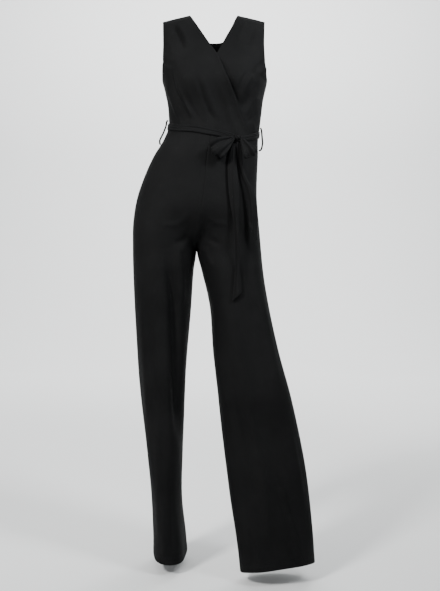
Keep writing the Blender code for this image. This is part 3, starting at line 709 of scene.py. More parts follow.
def trouser(side, face):
    folds = ALL_FOLDS[f"trouser_{face}_{side}"]
    centre_first = (side == "left") == (face == "front")
    side_seam = 90 if side == "left" else {"front": -90, "back": 270}[face]

    def surface(level, share):
        seam = centre_seam(np.minimum(level, CROTCH))
        centre = seam if face == "front" else 180 - seam
        first, last = (centre, side_seam) if centre_first else (side_seam, centre)
        turn = first + (last - first) * share
        leg_turn = (-90 if face == "front" else 90) + 180 * share
        down = dipped(level, turn)
        at_seam = np.minimum(1.0, 1 - share if centre_first else share) ** SEAM_HOLD
        start = np.clip((level - RISE_START[face]) / (CROTCH - RISE_START[face]), 0, 1)
        at_centre = 1 - np.sqrt(1 - start**2)
        weight = (at_centre * at_seam + ease(SEAT, THIGH, level) * (1 - at_seam))[..., None]
        smooth = body_point(down, turn) * (1 - weight) + leg_point(side, level, leg_turn) * weight
        window = ease(0.0, SEAM_FADE, np.minimum(share, 1 - share))
        out = fold_rise(folds, smooth[..., 0], level) * window
        waves = hang(leg_turn + (0 if side == "left" else RIGHT_WAVES), level)
        out = out + waves * ease(CROTCH, WAVES_FULL, level)
        on_leg = leg_point(side, level, leg_turn, out)
        on_leg[..., 0] += SEAM_GAP / 2 if side == "left" else -SEAM_GAP / 2
        return body_point(down, turn, out) * (1 - weight) + on_leg * weight

    return surface


PANELS = {
    "bodice_front_over": (over_front, 0.0, WAIST),
    "bodice_front_under": (under_front, 0.0, WAIST),
    "bodice_back": (bodice_back, 0.0, WAIST),
    "trouser_front_right": (trouser("right", "front"), WAIST, HEM["right"]),
    "trouser_front_left": (trouser("left", "front"), WAIST, HEM["left"]),
    "trouser_back_right": (trouser("right", "back"), WAIST, HEM["right"]),
    "trouser_back_left": (trouser("left", "back"), WAIST, HEM["left"]),
}
print("panels:", ", ".join(PANELS))

# %% [markdown]
# ## Measuring cloth
#
# `lengths` measures a grid of cloth along its rows and columns, as a tape measure would, and
# `grid_area` adds up its cells. `outward` is the direction that faces away from the body.

# %% Lengths, areas and directions
def lengths(points):
    """How far each place is from the top edge and from the left edge."""
    down = np.linalg.norm(np.diff(points, axis=0), axis=2)
    across = np.linalg.norm(np.diff(points, axis=1), axis=2)
    from_top = np.concatenate([np.zeros((1, points.shape[1])), np.cumsum(down, axis=0)])
    from_left = np.concatenate([np.zeros((points.shape[0], 1)), np.cumsum(across, axis=1)], axis=1)
    return from_top, from_left


def grid_area(points):
    first = np.cross(points[1:, :-1] - points[:-1, :-1], points[:-1, 1:] - points[:-1, :-1])
    second = np.cross(points[1:, :-1] - points[1:, 1:], points[:-1, 1:] - points[1:, 1:])
    return float((np.linalg.norm(first, axis=2) + np.linalg.norm(second, axis=2)).sum() / 2)


def sheet_sizes(points):
    """The widest and the longest run of a sheet, and its area."""
    from_top, from_left = lengths(points)
    return {
        "flat": (float(from_left[:, -1].max()), float(from_top[-1].max())),
        "area": grid_area(points),
    }


def outward(points):
    return unit(np.cross(np.gradient(points, axis=0), np.gradient(points, axis=1)))


square = stack(np.arange(3.0)[None, :], 0.0, -np.arange(3.0)[:, None])
print("a square of 2 by 2:", sheet_sizes(square), "faces", outward(square)[1, 1].tolist())

# %% [markdown]
# ## From a surface to a grid of cloth
#
# Rows are spaced evenly along the cloth, not by height, since it lies nearly flat over the
# shoulders. Columns are close together at both edges, where the turned edges and the seams are.

# %% Grids
EDGE_STEPS = (0.0, 0.7, 1.5, 2.5, 4.0, 6.0, 7.6, 8.6, 9.6, 10.8, 13.0)  # millimetres
PANEL_WIDTH = 0.25  # near enough for placing the columns at the edges


def near_edges(length, count):
    """Shares from 0 to 1, close together near both ends of an edge of that length."""
    close = np.array(EDGE_STEPS) / 1000 / length
    between = np.linspace(close[-1], 1 - close[-1], count)[1:-1]
    return np.concatenate([close, between, 1 - close[::-1]])


def even_levels(surface, top, bottom, count):
    """Levels that are evenly apart along the middle of the cloth, closer at both ends."""
    fine = np.linspace(top, bottom, 3000)
    route = surface(fine, np.full(fine.shape, 0.5))
    along = np.concatenate([[0], np.cumsum(np.linalg.norm(np.diff(route, axis=0), axis=1))])
    return np.interp(near_edges(along[-1], count) * along[-1], along, fine)


grids = {}
for name, (surface, top, bottom) in PANELS.items():
    rows, columns = (96, 56) if name.startswith("bodice") else (300, 52)
    level = even_levels(surface, top, bottom, rows)[:, None]
    level, share = np.broadcast_arrays(level, near_edges(PANEL_WIDTH, columns)[None, :])
    grids[name] = {"points": surface(level, share), "level": level, "share": share}
    print(name, "rows and columns:", level.shape)

# %% [markdown]
# ## Turned edges and seams
#
# A free edge of crepe is folded in once and stitched down, so it is a little thicker and its
# stitch line is pressed in. A seam is a narrow valley, with small puckers where the thread has
# drawn the stretchy cloth together. Both are worked out from the distance to the edge, in metres.

# %% Relief of one edge
TURNED = {"neck": 0.0095, "armhole": 0.0080, "hem": 0.0200}


def ridge_at(distance, centre, rise, reach):
    return rise * np.exp(-(((distance - centre) / reach) ** 2))


def puckers(along, seed):
    """Small uneven waves along a line of sewing, from -1 to 1."""
    a = along * 1000
    wave = np.sin(a / 2.9 + seed) + 0.8 * np.sin(a / 4.7 + 2.3 * seed) + 0.6 * np.sin(a / 11.0 + seed)
    return wave / 2.4


def turned_relief(distance, along, width, seed):
    padded = 0.00028 * (1 - ease(width - 0.0012, width + 0.0016, distance))
    pressed = ridge_at(distance, width - 0.0006, -0.00042, 0.0010)
    rolled = ridge_at(distance, 0.0, -0.0004, 0.0009)
    return padded + pressed + rolled + puckers(along, seed) * ridge_at(distance, width, 0.00022, 0.0060)


def seam_relief(distance, along, seed):
    valley = ridge_at(distance, 0.0, -0.00060, 0.0014)
    pressed_allowance = ridge_at(distance, 0.0050, 0.00022, 0.0032)
    return valley + pressed_allowance + puckers(along, seed) * ridge_at(distance, 0.0, 0.00030, 0.0070)


print("a seam sinks, millimetres:", round(1000 * float(seam_relief(0.0, 0.0, 0.0)), 2))

# %% [markdown]
# ## Which edges are turned
#
# Each panel has four edges. The neck, the wrap edge, the armholes and the hems are turned, and all
# others are sewn to a neighbour. An armhole edge turns into the side seam at the underarm, and the
# back neck turns into the shoulder seams, so those change over along the edge.

# %% Edges of the panels
CLOTH, TURNED_EXTRA = 0.0009, 0.0007  # thickness of the cloth, and what a turned edge adds
CHANGE = 0.003  # how far an armhole edge takes, each way, to change into the side seam
BACK_NECK_ENDS = (0.395, 0.405)


def edge_zones(name, level, share):
    """For each of the four edges: how wide its turned edge is, and where it is turned (1) or sewn (0)."""
    armhole = (TURNED["armhole"], 1 - ease(UNDERARM - CHANGE, UNDERARM + CHANGE, level))
    neck = (TURNED["neck"], np.ones(level.shape))
    sewn = (TURNED["neck"], np.zeros(level.shape))
    if name == "bodice_front_over":
        return {"top": sewn, "bottom": sewn, "left": armhole, "right": neck}
    if name == "bodice_front_under":
        return {"top": sewn, "bottom": sewn, "left": neck, "right": armhole}
    if name == "bodice_back":
        back_neck = (TURNED["neck"], 1 - ease(*BACK_NECK_ENDS, np.abs(2 * share - 1)))
        return {"top": back_neck, "bottom": sewn, "left": armhole, "right": armhole}
    hem = (TURNED["hem"], np.ones(level.shape))
    return {"top": sewn, "bottom": hem, "left": sewn, "right": sewn}


def add_edges(name, grid):
    """Lifts the grid's points at its edges and seams, and works out how thick the cloth is."""
    from_top, from_left = lengths(grid["points"])
    distance = {
        "top": from_top,
        "bottom": from_top[-1:] - from_top,
        "left": from_left,
        "right": from_left[:, -1:] - from_left,
    }
    relief = np.zeros(from_top.shape)
    thick = np.full(from_top.shape, CLOTH)
    zones = edge_zones(name, grid["level"], grid["share"])
    for seed, (edge, (width, turned)) in enumerate(zones.items()):
        along = from_left if edge in ("top", "bottom") else from_top
        away = distance[edge]
        relief += turned * turned_relief(away, along, width, seed)
        relief += (1 - turned) * seam_relief(away, along, seed + 0.5)
        padded = 1 - ease(width - 0.001, width + 0.001, away)
        thick = np.maximum(thick, CLOTH + TURNED_EXTRA * padded)
    grid["points"] = grid["points"] + outward(grid["points"]) * relief[..., None]
    grid["thick"], grid["distance"] = thick, distance


for name, grid in grids.items():
    add_edges(name, grid)
    grid.update(sheet_sizes(grid["points"]))
    print(name, "flat", [round(v, 3) for v in grid["flat"]], "area", round(grid["area"], 4))

# %% [markdown]
# ## Meshes
#
# Everything here is worked out as arrays of corners and faces, because a pattern is a set of
# measured places. `smooth_piece` turns them into one smooth object. `tube_faces` joins up a grid
# whose columns run right round, as in the band of the sash, its knot and the cords.

# %% Making objects
def smooth_piece(name, corners, faces, material):
    mesh = bpy.data.meshes.new(name)
    mesh.from_pydata(corners, [], faces)
    mesh.update()
    mesh.materials.append(material)
    mesh.shade_smooth()
    made = bpy.data.objects.new(name, mesh)
    bpy.context.scene.collection.objects.link(made)
    return made


def tube_faces(rows, wide, joined=False):
    """Four-sided faces. `joined` also joins the last row to the first."""
    index = np.arange(rows * wide).reshape(rows, wide)
    if joined:
        index = np.concatenate([index, index[:1]])
    after = np.roll(index, -1, axis=1)
    return np.stack([index[:-1], index[1:], after[1:], after[:-1]], -1).reshape(-1, 4).tolist()


print("faces of a tube of 3 rings of 8:", len(tube_faces(3, 8)))

# %% [markdown]
# ## A sheet of cloth with two sides
#
# Each panel becomes one closed thin shell: the outer grid, the inner grid at the cloth's
# thickness, and a rim that bulges a little, as a folded edge does.

# %% Shells
RIM_BULGE = 0.3  # of the cloth's thickness


def shell(name, points, thick, material):
    rows, wide = points.shape[:2]
    total = rows * wide
    inner = points - outward(points) * thick[..., None]
    index = np.arange(total).reshape(rows, wide)
    a, b = index[:-1, :-1].ravel(), index[:-1, 1:].ravel()
    c, d = index[1:, 1:].ravel(), index[1:, :-1].ravel()
    across, along = np.gradient(points, axis=1), np.gradient(points, axis=0)
    push = np.zeros(points.shape)
    push[:, 0] -= unit(across[:, 0])
    push[:, -1] += unit(across[:, -1])
    push[0] -= unit(along[0])
    push[-1] += unit(along[-1])
    rim = np.concatenate([index[0, :-1], index[:-1, -1], index[-1, :0:-1], index[:0:-1, 0]])
    flat_outer, flat_inner = points.reshape(-1, 3), inner.reshape(-1, 3)
    bulge = RIM_BULGE * thick.ravel()[rim][:, None] * unit(push.reshape(-1, 3)[rim])
    middle = (flat_outer[rim] + flat_inner[rim]) / 2 + bulge
    here = 2 * total + np.arange(len(rim))
    after, rim_after = np.roll(here, -1), np.roll(rim, -1)
    faces = np.concatenate([
        np.stack([a, d, c, b], 1),
        np.stack([a, b, c, d], 1) + total,
        np.stack([rim, rim_after, after, here], 1),
        np.stack([here, after, rim_after + total, rim + total], 1),
    ])
    corners = np.concatenate([flat_outer, flat_inner, middle])
    return smooth_piece(name, corners.tolist(), faces.tolist(), material)


print("a turned edge is", round(1000 * (CLOTH + TURNED_EXTRA), 1), "millimetres thick")

# %% [markdown]
# ## Node helpers
#
# A procedural material reads the piece's own coordinates, so its grain stays fixed to the cloth
# however the piece is turned. These helpers add one texture, one colour ramp or one bump.

# %% Textures, ramps and bumps
def texture(tree, kind, scale, detail=None):
    place = tree.nodes.get("Texture Coordinate") or tree.nodes.new("ShaderNodeTexCoord")
    made = tree.nodes.new(kind)
    made.inputs["Scale"].default_value = scale
    if detail is not None:
        made.inputs["Detail"].default_value = detail
    tree.links.new(place.outputs["Object"], made.inputs["Vector"])
    return made


def ramp(tree, factor, low, high, ends=(0.0, 1.0)):
    made = tree.nodes.new("ShaderNodeValToRGB")
    for element, colour, position in zip(made.color_ramp.elements, (low, high), ends):
        element.color = (*colour, 1)
        element.position = position
    tree.links.new(factor, made.inputs["Fac"])
    return made.outputs["Color"]


def bump(tree, height, strength, distance, below=None):
    made = tree.nodes.new("ShaderNodeBump")
    made.inputs["Strength"].default_value = strength
    made.inputs["Distance"].default_value = distance
    tree.links.new(height, made.inputs["Height"])
    if below is not None:
        tree.links.new(below, made.inputs["Normal"])
    return made.outputs["Normal"]


print("helpers:", texture.__name__, ramp.__name__, bump.__name__)

# %% [markdown]
# ## The crepe
#
# Stretch crepe is matte and black, with a dry pebbly grain about a millimetre across, from its
# hard twisted yarn. It hardly shines, and its black swallows nearly all the light. The grain is
# bump only: it is far too small to model. The sash is the same crepe, a little smoother, and the
# cord and the thread are darker or glossier yarns.

# %% The fabric recipe
CREPE_SHINE = 0.03
FUZZ = (0.62, 0.64, 0.68, 1)  # colour of the light that the finest fibres catch


def crepe(name, dark, light, rough, grain, sheen):
    material = bpy.data.materials.new(name)
    material.use_nodes = True
    tree = material.node_tree
    shader = tree.nodes["Principled BSDF"]

    uneven = texture(tree, "ShaderNodeTexNoise", 9.0, 5.0).outputs["Fac"]
    tree.links.new(ramp(tree, uneven, dark, light, (0.35, 0.68)), shader.inputs["Base Color"])
    dry = tree.nodes.new("ShaderNodeMapRange")
    dry.inputs["To Min"].default_value = rough - 0.05
    dry.inputs["To Max"].default_value = rough + 0.06
    tree.links.new(uneven, dry.inputs["Value"])
    tree.links.new(dry.outputs["Result"], shader.inputs["Roughness"])

    rumple = texture(tree, "ShaderNodeTexNoise", 55.0, 4.0).outputs["Fac"]
    pebbles = texture(tree, "ShaderNodeTexVoronoi", 950.0).outputs["Distance"]
    yarn = texture(tree, "ShaderNodeTexNoise", 1500.0, 3.0).outputs["Fac"]
    coarse = bump(tree, rumple, 0.35, 0.0012)
    pebbled = bump(tree, pebbles, grain, 0.0004, coarse)
    tree.links.new(bump(tree, yarn, grain, 0.0002, pebbled), shader.inputs["Normal"])

    shader.inputs["Metallic"].default_value = 0.0
    shader.inputs["Specular IOR Level"].default_value = CREPE_SHINE
    shader.inputs["Sheen Weight"].default_value = sheen
    shader.inputs["Sheen Roughness"].default_value = 0.45
    shader.inputs["Sheen Tint"].default_value = FUZZ
    return material


body_crepe = crepe("crepe", (0.0052, 0.0053, 0.0055), (0.0074, 0.0075, 0.0077), 0.66, 0.40, 0.0)
sash_crepe = crepe("sash_crepe", (0.0050, 0.0051, 0.0053), (0.0072, 0.0073, 0.0076), 0.62, 0.34, 0.004)
cord_thread = crepe("loop_cord", (0.0026, 0.0027, 0.0028), (0.0042, 0.0042, 0.0044), 0.55, 0.50, 0.012)
stitch_thread = crepe("stitch_thread", (0.0050, 0.0051, 0.0053), (0.0070, 0.0071, 0.0074), 0.45, 0.50, 0.02)
print("fabrics:", body_crepe.name, sash_crepe.name, cord_thread.name, stitch_thread.name)

# %% [markdown]
# ## The seven panels in place
#
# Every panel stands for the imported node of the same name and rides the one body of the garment.


def dress(piece, node):
    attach(piece, "root")
    if node:
        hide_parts(node)
    return piece


for name, grid in grids.items():
    panel = shell(name + "_cloth", grid["points"], grid["thick"], body_crepe)
    dress(panel, name)

# %% [markdown]
# ## Stitch lines
#
# The turned edges are held by one row of small stitches, and the hems by two. The rows follow
# lines at a set distance from an edge, found by walking in along each row or column of the grid.

# %% Lines inside an edge
def line_inside(grid, edge, inside, keep):
    """Places and outward directions along a line at a distance inside one edge of a panel."""
    points, away, distance = grid["points"], outward(grid["points"]), grid["distance"][edge]
    if edge in ("top", "bottom"):
        points, away, distance = (np.swapaxes(v, 0, 1) for v in (points, away, distance))
    if edge in ("right", "bottom"):
        points, away, distance = points[:, ::-1], away[:, ::-1], distance[:, ::-1]

    def crossing(values):
        rows = range(len(points))
        return np.array([[np.interp(inside, distance[r], values[r, :, k]) for k in range(3)] for r in rows])

    return crossing(points)[keep], crossing(away)[keep]


def evenly(route, facing, pitch):
    """The same line with places one pitch apart: places, directions along and directions outward."""
    along = np.concatenate([[0], np.cumsum(np.linalg.norm(np.diff(route, axis=0), axis=1))])
    wanted = np.arange(pitch, along[-1] - pitch, pitch)

    def resampled(values):
        return np.stack([np.interp(wanted, along, values[:, k]) for k in range(3)], 1)

    places = resampled(route)
    return places, unit(np.gradient(places, axis=0)), unit(resampled(facing))


neck_line, _ = line_inside(grids["bodice_front_over"], "right", TURNED["neck"], slice(None))
print("the stitched wrap edge starts at", neck_line[0].round(3).tolist())

# %% [markdown]
# ## Stitches
#
# Each stitch is a short rounded bar, half sunk in the cloth. All stitches of a panel are one
# joined mesh.

# %% Bars of thread
STITCH = {"pitch": 0.0027, "length": 0.0019, "radius": 0.00026, "sunk": 0.00004}
RINGS = ((-0.5, 0.35), (-0.36, 0.9), (0.36, 0.9), (0.5, 0.35))  # place along the bar, and swell
SIDES, WIDER, FLATTER = 6, 1.25, 0.8


def bars(name, lines):
    turns = np.linspace(0, 2 * math.pi, SIDES, endpoint=False)
    last = (len(RINGS) - 1) * SIDES
    corners, faces = [], []
    for route, facing in lines:
        for place, along, up in zip(*evenly(route, facing, STITCH["pitch"])):
            side = np.cross(along, up)
            start = len(corners)
            for share, swell in RINGS:
                centre = place + along * share * STITCH["length"] - up * STITCH["sunk"]
                for turn in turns:
                    ring = side * math.cos(turn) * WIDER + up * math.sin(turn) * FLATTER
                    corners.append((centre + ring * swell * STITCH["radius"]).tolist())
            for ring in range(start, start + last, SIDES):
                for k in range(SIDES):
                    a, b = ring + k, ring + (k + 1) % SIDES
                    faces.append((a, b, b + SIDES, a + SIDES))
            faces.append(tuple(start + k for k in range(SIDES))[::-1])
            faces.append(tuple(start + last + k for k in range(SIDES)))
    return smooth_piece(name, corners, faces, stitch_thread)


print("corners of one stitch:", len(RINGS) * SIDES)

# %% [markdown]
# ## Where the stitches go
#
# Necklines and wrap edges are stitched all along, armholes down to the underarm, the back neck
# between the shoulder seams, and each hem twice.

# %% Stitch the edges
HEM_ROWS_APART = 0.0035
STITCH_INSET = 0.0006  # from the edge of the turned cloth
ARMHOLE_EDGES = {
    "bodice_front_over": ("left",),
    "bodice_front_under": ("right",),
    "bodice_back": ("left", "right"),
}
NECK_EDGE = {"bodice_front_over": "right", "bodice_front_under": "left", "bodice_back": "top"}
BACK_NECK_SHARE = 0.39  # how much of the back's top edge is stitched
SHORT_OF_UNDERARM = 0.004


def stitched_edges(name):
    """The edges to stitch: which, how far inside and which rows or columns of the grid."""
    if name.startswith("trouser"):
        return [("bottom", TURNED["hem"] - apart, slice(None)) for apart in (0.0, HEM_ROWS_APART)]
    at_neck = slice(None)
    if name == "bodice_back":
        at_neck = np.abs(2 * grids[name]["share"][0] - 1) < BACK_NECK_SHARE
    above = grids[name]["level"][:, 0] < UNDERARM - SHORT_OF_UNDERARM
    armholes = [(edge, TURNED["armhole"], above) for edge in ARMHOLE_EDGES[name]]
    return [(NECK_EDGE[name], TURNED["neck"], at_neck), *armholes]


for name in PANELS:
    edges = stitched_edges(name)
    lines = [line_inside(grids[name], edge, inside - STITCH_INSET, keep) for edge, inside, keep in edges]
    stitches = name + "_stitches"
    dress(bars(stitches, lines), None)
    print(stitches, "rows:", len(lines))

# %% [markdown]
# ## Ridges of the sash
#
# The sash is a folded strip that is tied tight, so round the waist it rolls into a few lengthwise
# ridges. They run uneven and draw together near the knot. Each row of the table is one ridge:
# its height at the back and near the knot, how far it rises and how wide it is, in metres.

# %% Ridges
KNOT_TURN = 33.0
RIDGES = (
    (0.0068, 0.0042, 0.0008, 0.0014),
    (0.0030, 0.0014, 0.0010, 0.0016),
    (-0.0012, -0.0006, 0.0007, 0.0013),
    (-0.0050, -0.0030, 0.0011, 0.0017),
    (-0.0078, -0.0056, 0.0006, 0.0011),
)


def sash_ridges(height, turn, near):
    total = np.zeros(np.broadcast(height, turn).shape)
    a = np.radians(turn)
    for number, (at_back, at_knot, rise, reach) in enumerate(RIDGES):
        wander = 0.0010 * np.sin(2 * a + 1.7 * number) + 0.0007 * np.sin(5 * a + 2.9 * number)
        centre = at_back + (at_knot - at_back) * near + wander
        total = total + (1 + 0.5 * near) * ridge_at(height, centre, rise, reach)
    return total


print("ridges of the sash:", len(RIDGES))

# %% [markdown]
# ## The sash round the waist
#
# The band is one closed tube: an outer face with its ridges and a plain inner face against the
# cloth of the waist. Near the knot it is gathered to less height.

# %% The band
BAND = {"height": 0.0180, "clearance": 0.0012, "thickness": 0.0021, "rounding": 0.0008}
GATHERED, GATHER_REACH = 0.16, 16.0  # share of the height that is lost at the knot, and degrees


def build_band():
    outside, inside = np.linspace(-0.5, 0.5, 25), np.linspace(0.5, -0.5, 9)[1:-1]
    heights = np.concatenate([outside, inside])[None, :] * BAND["height"]
    turns, heights = np.broadcast_arrays(np.arange(-90.0, 270.0)[:, None], heights)
    apart = np.abs((turns - KNOT_TURN + 180) % 360 - 180)
    near = np.exp(-((apart / GATHER_REACH) ** 2))
    edge = np.abs(heights) / (BAND["height"] / 2)
    round_edge = np.sqrt(np.maximum(0, 1 - edge**6))
    full = BAND["thickness"] - 1.5 * BAND["rounding"] + sash_ridges(heights, turns, near)
    out = BAND["clearance"] + BAND["rounding"] / 2 + full * round_edge
    out[:, len(outside):] = BAND["clearance"]
    points = body_point(seam_down(turns) - heights * (1 - GATHERED * near), turns, out)
    faces = tube_faces(*points.shape[:2], joined=True)
    made = smooth_piece("sash_band_cloth", points.reshape(-1, 3).tolist(), faces, sash_crepe)
    middle = points[:, len(outside) // 2]
    return made, float(np.linalg.norm(np.diff(middle, axis=0), axis=1).sum())


band, band_length = build_band()
dress(band, "sash_band")
print("sash round the waist, metres:", round(band_length, 3))

# %% [markdown]
# ## The knot
#
# The knot is a tight pad where one end wraps over the other. Its creases run on the slant, from
# upper left to lower right, and bite deepest in front. It is a ball of rounded sections, sized
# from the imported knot, whose surface swells and sinks with the creases.

# %% Shape the knot
KNOT_SHARE = 0.96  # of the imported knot's size, so that the creases keep within it


def build_knot():
    low, high = (np.array(corner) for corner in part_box("sash_knot"))
    centre, half = (low + high) / 2, (high - low) / 2
    around = np.linspace(0, 2 * math.pi, 72, endpoint=False)[None, :]
    tall = np.linspace(-math.pi / 2, math.pi / 2, 41)[:, None]
    x = rounded(np.cos(tall)) * rounded(np.sin(around))
    y = -rounded(np.cos(tall)) * rounded(np.cos(around))
    z = rounded(np.sin(tall)) + 0 * around
    slant = 0.80 * x + 0.62 * z
    crease = 0.075 * np.sin(9.5 * slant + 0.8 * x * z) + 0.035 * np.sin(17.0 * slant + 1.3)
    waisted = 1 - 0.10 * np.exp(-((x / 0.35) ** 2)) * np.abs(z) ** 3
    swell = (1 + crease * (0.5 + 0.5 * (y < 0))) * waisted
    points = centre + stack(x * swell, y * swell, z * swell) * half * KNOT_SHARE
    faces = tube_faces(*points.shape[:2])
    made = smooth_piece("sash_knot_cloth", points.reshape(-1, 3).tolist(), faces, sash_crepe)
    shape = bmesh.new()
    shape.from_mesh(made.data)
    bmesh.ops.remove_doubles(shape, verts=shape.verts, dist=0.00001)
    bmesh.ops.recalc_face_normals(shape, faces=shape.faces)
    shape.to_mesh(made.data)
    shape.free()
    return made


dress(build_knot(), "sash_knot")

# %% [markdown]
# ## Sizes of the bow
#
# Each loop of the bow goes out from the knot in front, turns round its end and comes back behind.
# A row of its profile says how far along it is, how far forward and how wide.

# %% Bow loops
BOW = {
    "sash_loop_right": {
        "start": (0.0515, -0.1662, -0.368),
        "direction": (-0.79, 0.0, -0.61),
        "profile": (
            ("row", "along", "y", "half_width"),
            (0, 0.000, -0.1662, 0.0045),
            (1, 0.016, -0.1760, 0.0125),
            (2, 0.036, -0.1860, 0.0215),
            (3, 0.052, -0.1880, 0.0240),
            (4, 0.061, -0.1840, 0.0240),
            (5, 0.056, -0.1780, 0.0235),
            (6, 0.036, -0.1720, 0.0200),
            (7, 0.016, -0.1650, 0.0120),
            (8, 0.000, -0.1600, 0.0050),
        ),
    },
    "sash_loop_left": {
        "start": (0.0720, -0.1662, -0.372),
        "direction": (0.48, 0.0, -0.88),
        "profile": (
            ("row", "along", "y", "half_width"),
            (0, 0.000, -0.1662, 0.0045),
            (1, 0.014, -0.1745, 0.0100),
            (2, 0.032, -0.1830, 0.0160),
            (3, 0.044, -0.1845, 0.0185),
            (4, 0.052, -0.1810, 0.0185),
            (5, 0.047, -0.1755, 0.0180),
            (6, 0.032, -0.1710, 0.0155),
            (7, 0.014, -0.1645, 0.0095),
            (8, 0.000, -0.1600, 0.0045),
        ),
    },
}
print("loops of the bow:", ", ".join(BOW))

# %% [markdown]
# ## Sizes of the tails
#
# The tails hang from the knot. A row gives the middle of the tail, how far down it is, and half
# its width where it is gathered or spread. Their ends are cut on the slant.

# %% Tails
KNOT_Y = -0.160
TAILS = {
    "sash_tail_long": (
        ("row", "x", "down", "half_width"),
        (0, 0.0570, 0.3765, 0.0040),
        (1, 0.0500, 0.3950, 0.0075),
        (2, 0.0482, 0.4400, 0.0118),
        (3, 0.0528, 0.5130, 0.0128),
        (4, 0.0566, 0.5640, 0.0090),
        (5, 0.0604, 0.6150, 0.0056),
        (6, 0.0620, 0.6790, 0.0052),
        (7, 0.0612, 0.7300, 0.0086),
        (8, 0.0599, 0.7740, 0.0122),
    ),
    "sash_tail_short": (
        ("row", "x", "down", "half_width"),
        (0, 0.0670, 0.3765, 0.0035),
        (1, 0.0685, 0.3950, 0.0045),
        (2, 0.0715, 0.4380, 0.0052),
        (3, 0.0795, 0.4680, 0.0064),
        (4, 0.0915, 0.4950, 0.0086),
        (5, 0.1000, 0.5300, 0.0108),
        (6, 0.1015, 0.5800, 0.0105),
        (7, 0.1020, 0.6120, 0.0100),
    ),
}
SLANT = {"sash_tail_long": -0.90, "sash_tail_short": 1.80}
print("the long tail hangs to", TAILS["sash_tail_long"][-1][2], "metres down")

# %% [markdown]
# ## Pleats
#
# Pleats start in the knot and open out along the ribbon. In a loop, some of them turn into the
# hollows of its face. A row of the table is one pleat: its place across the strip from -1 to 1,
# its rise at the knot and at the far end in metres, and its reach across.

# %% Pleats of a ribbon
PLEATS = (
    (-0.74, 0.0020, 0.0030, 0.15),
    (-0.34, 0.0030, -0.0034, 0.16),
    (0.02, 0.0022, -0.0030, 0.14),
    (0.42, 0.0032, 0.0036, 0.16),
    (0.78, 0.0020, -0.0016, 0.13),
)
PLEAT_FLOOR = -0.0014  # the cloth between the pleats
ACROSS = np.linspace(-1, 1, 29)[None, :]


def pleats(share, seed):
    """Relief across a ribbon. `share` runs from the knot (0) round and back to it (1)."""
    far = np.sin(math.pi * share)
    total = np.zeros(np.broadcast(ACROSS, share).shape)
    for number, (at, near_knot, at_end, reach) in enumerate(PLEATS):
        wander = 0.10 * np.sin(5.0 * share + 1.9 * number + seed)
        rise = near_knot + (at_end - near_knot) * far
        total = total + ridge_at(ACROSS, at + wander, rise, reach * (1 + 0.5 * far))
    return total + PLEAT_FLOOR


def ribbon_points(centres, halves, spread, relief):
    points = centres[:, None, :] + np.asarray(spread) * halves[:, None, None] * ACROSS[..., None]
    return points + outward(points) * relief[..., None]


print("pleats of a ribbon:", len(PLEATS))

# %% [markdown]
# ## The loops of the bow
#
# A loop is one ribbon along its profile. Its end bulges out in the middle, because the strip is
# folded round there and not creased.

# %% Shape a loop
LOOP_BULGE, BULGE_FROM = 0.0075, 0.060  # metres, and the length of loop at which it is full
BEHIND = 0.6  # how strong the pleats are behind, where the loop comes back


def bow_loop(name, seed):
    facts = BOW[name]
    direction = unit(np.array(facts["direction"]))
    spread = np.array((direction[2], 0.0, -direction[0])) * (1 if direction[0] < 0 else -1)
    profile = columns_of(facts["profile"])
    last = len(facts["profile"]) - 2
    rows = np.linspace(0, last, 97)
    along = profile["along"](rows)[:, None]
    centres = np.array(facts["start"]) + direction * along
    centres[:, 1] = profile["y"](rows)
    share = (rows / last)[:, None]
    front = np.where(share < 0.5, 1.0, BEHIND)
    relief = pleats(share, seed) * front * ease(0.0, 0.05, np.minimum(share, 1 - share))
    points = ribbon_points(centres, profile["half_width"](rows), spread, relief)
    far = np.maximum(0, along / BULGE_FROM) ** 2
    bulge = LOOP_BULGE * far * (np.cos(0.5 * math.pi * ACROSS) - 0.45)
    return points + direction * bulge[..., None]


print("right loop, flat:", [round(v, 3) for v in sheet_sizes(bow_loop("sash_loop_right", 0))["flat"]])

# %% [markdown]
# ## The hanging tails
#
# A tail hangs straight down in front of whatever lies behind it, so the script first finds how far
# forward the trousers reach there. The line is then smoothed, as cloth bridges hollows, and the
# strip gets a soft lengthwise roll and one ridge.

# %% Shape a tail
TAIL_CLEARANCE = 0.009
LEG_FROM = 0.600  # the level below which the left leg can be in front of the hips
ROLL, RIDGE = 0.00168, 0.0016
SMOOTHING = np.hanning(21)[1:-1] / np.hanning(21)[1:-1].sum()


def front_of_trousers(x, down):
    on_body = np.where(down < CROTCH, body_point(down, turn_at(down, x))[..., 1], 0.0)
    leg = legs["left"]
    low, high = leg["low_x"](down), leg["high_x"](down)
    share = np.clip((2 * x - low - high) / (high - low), -1, 1)
    on_leg = leg_point("left", down, np.degrees(np.arcsin(squared(share))))[..., 1]
    return np.minimum(on_body, np.where(down > LEG_FROM, on_leg, 0.0))


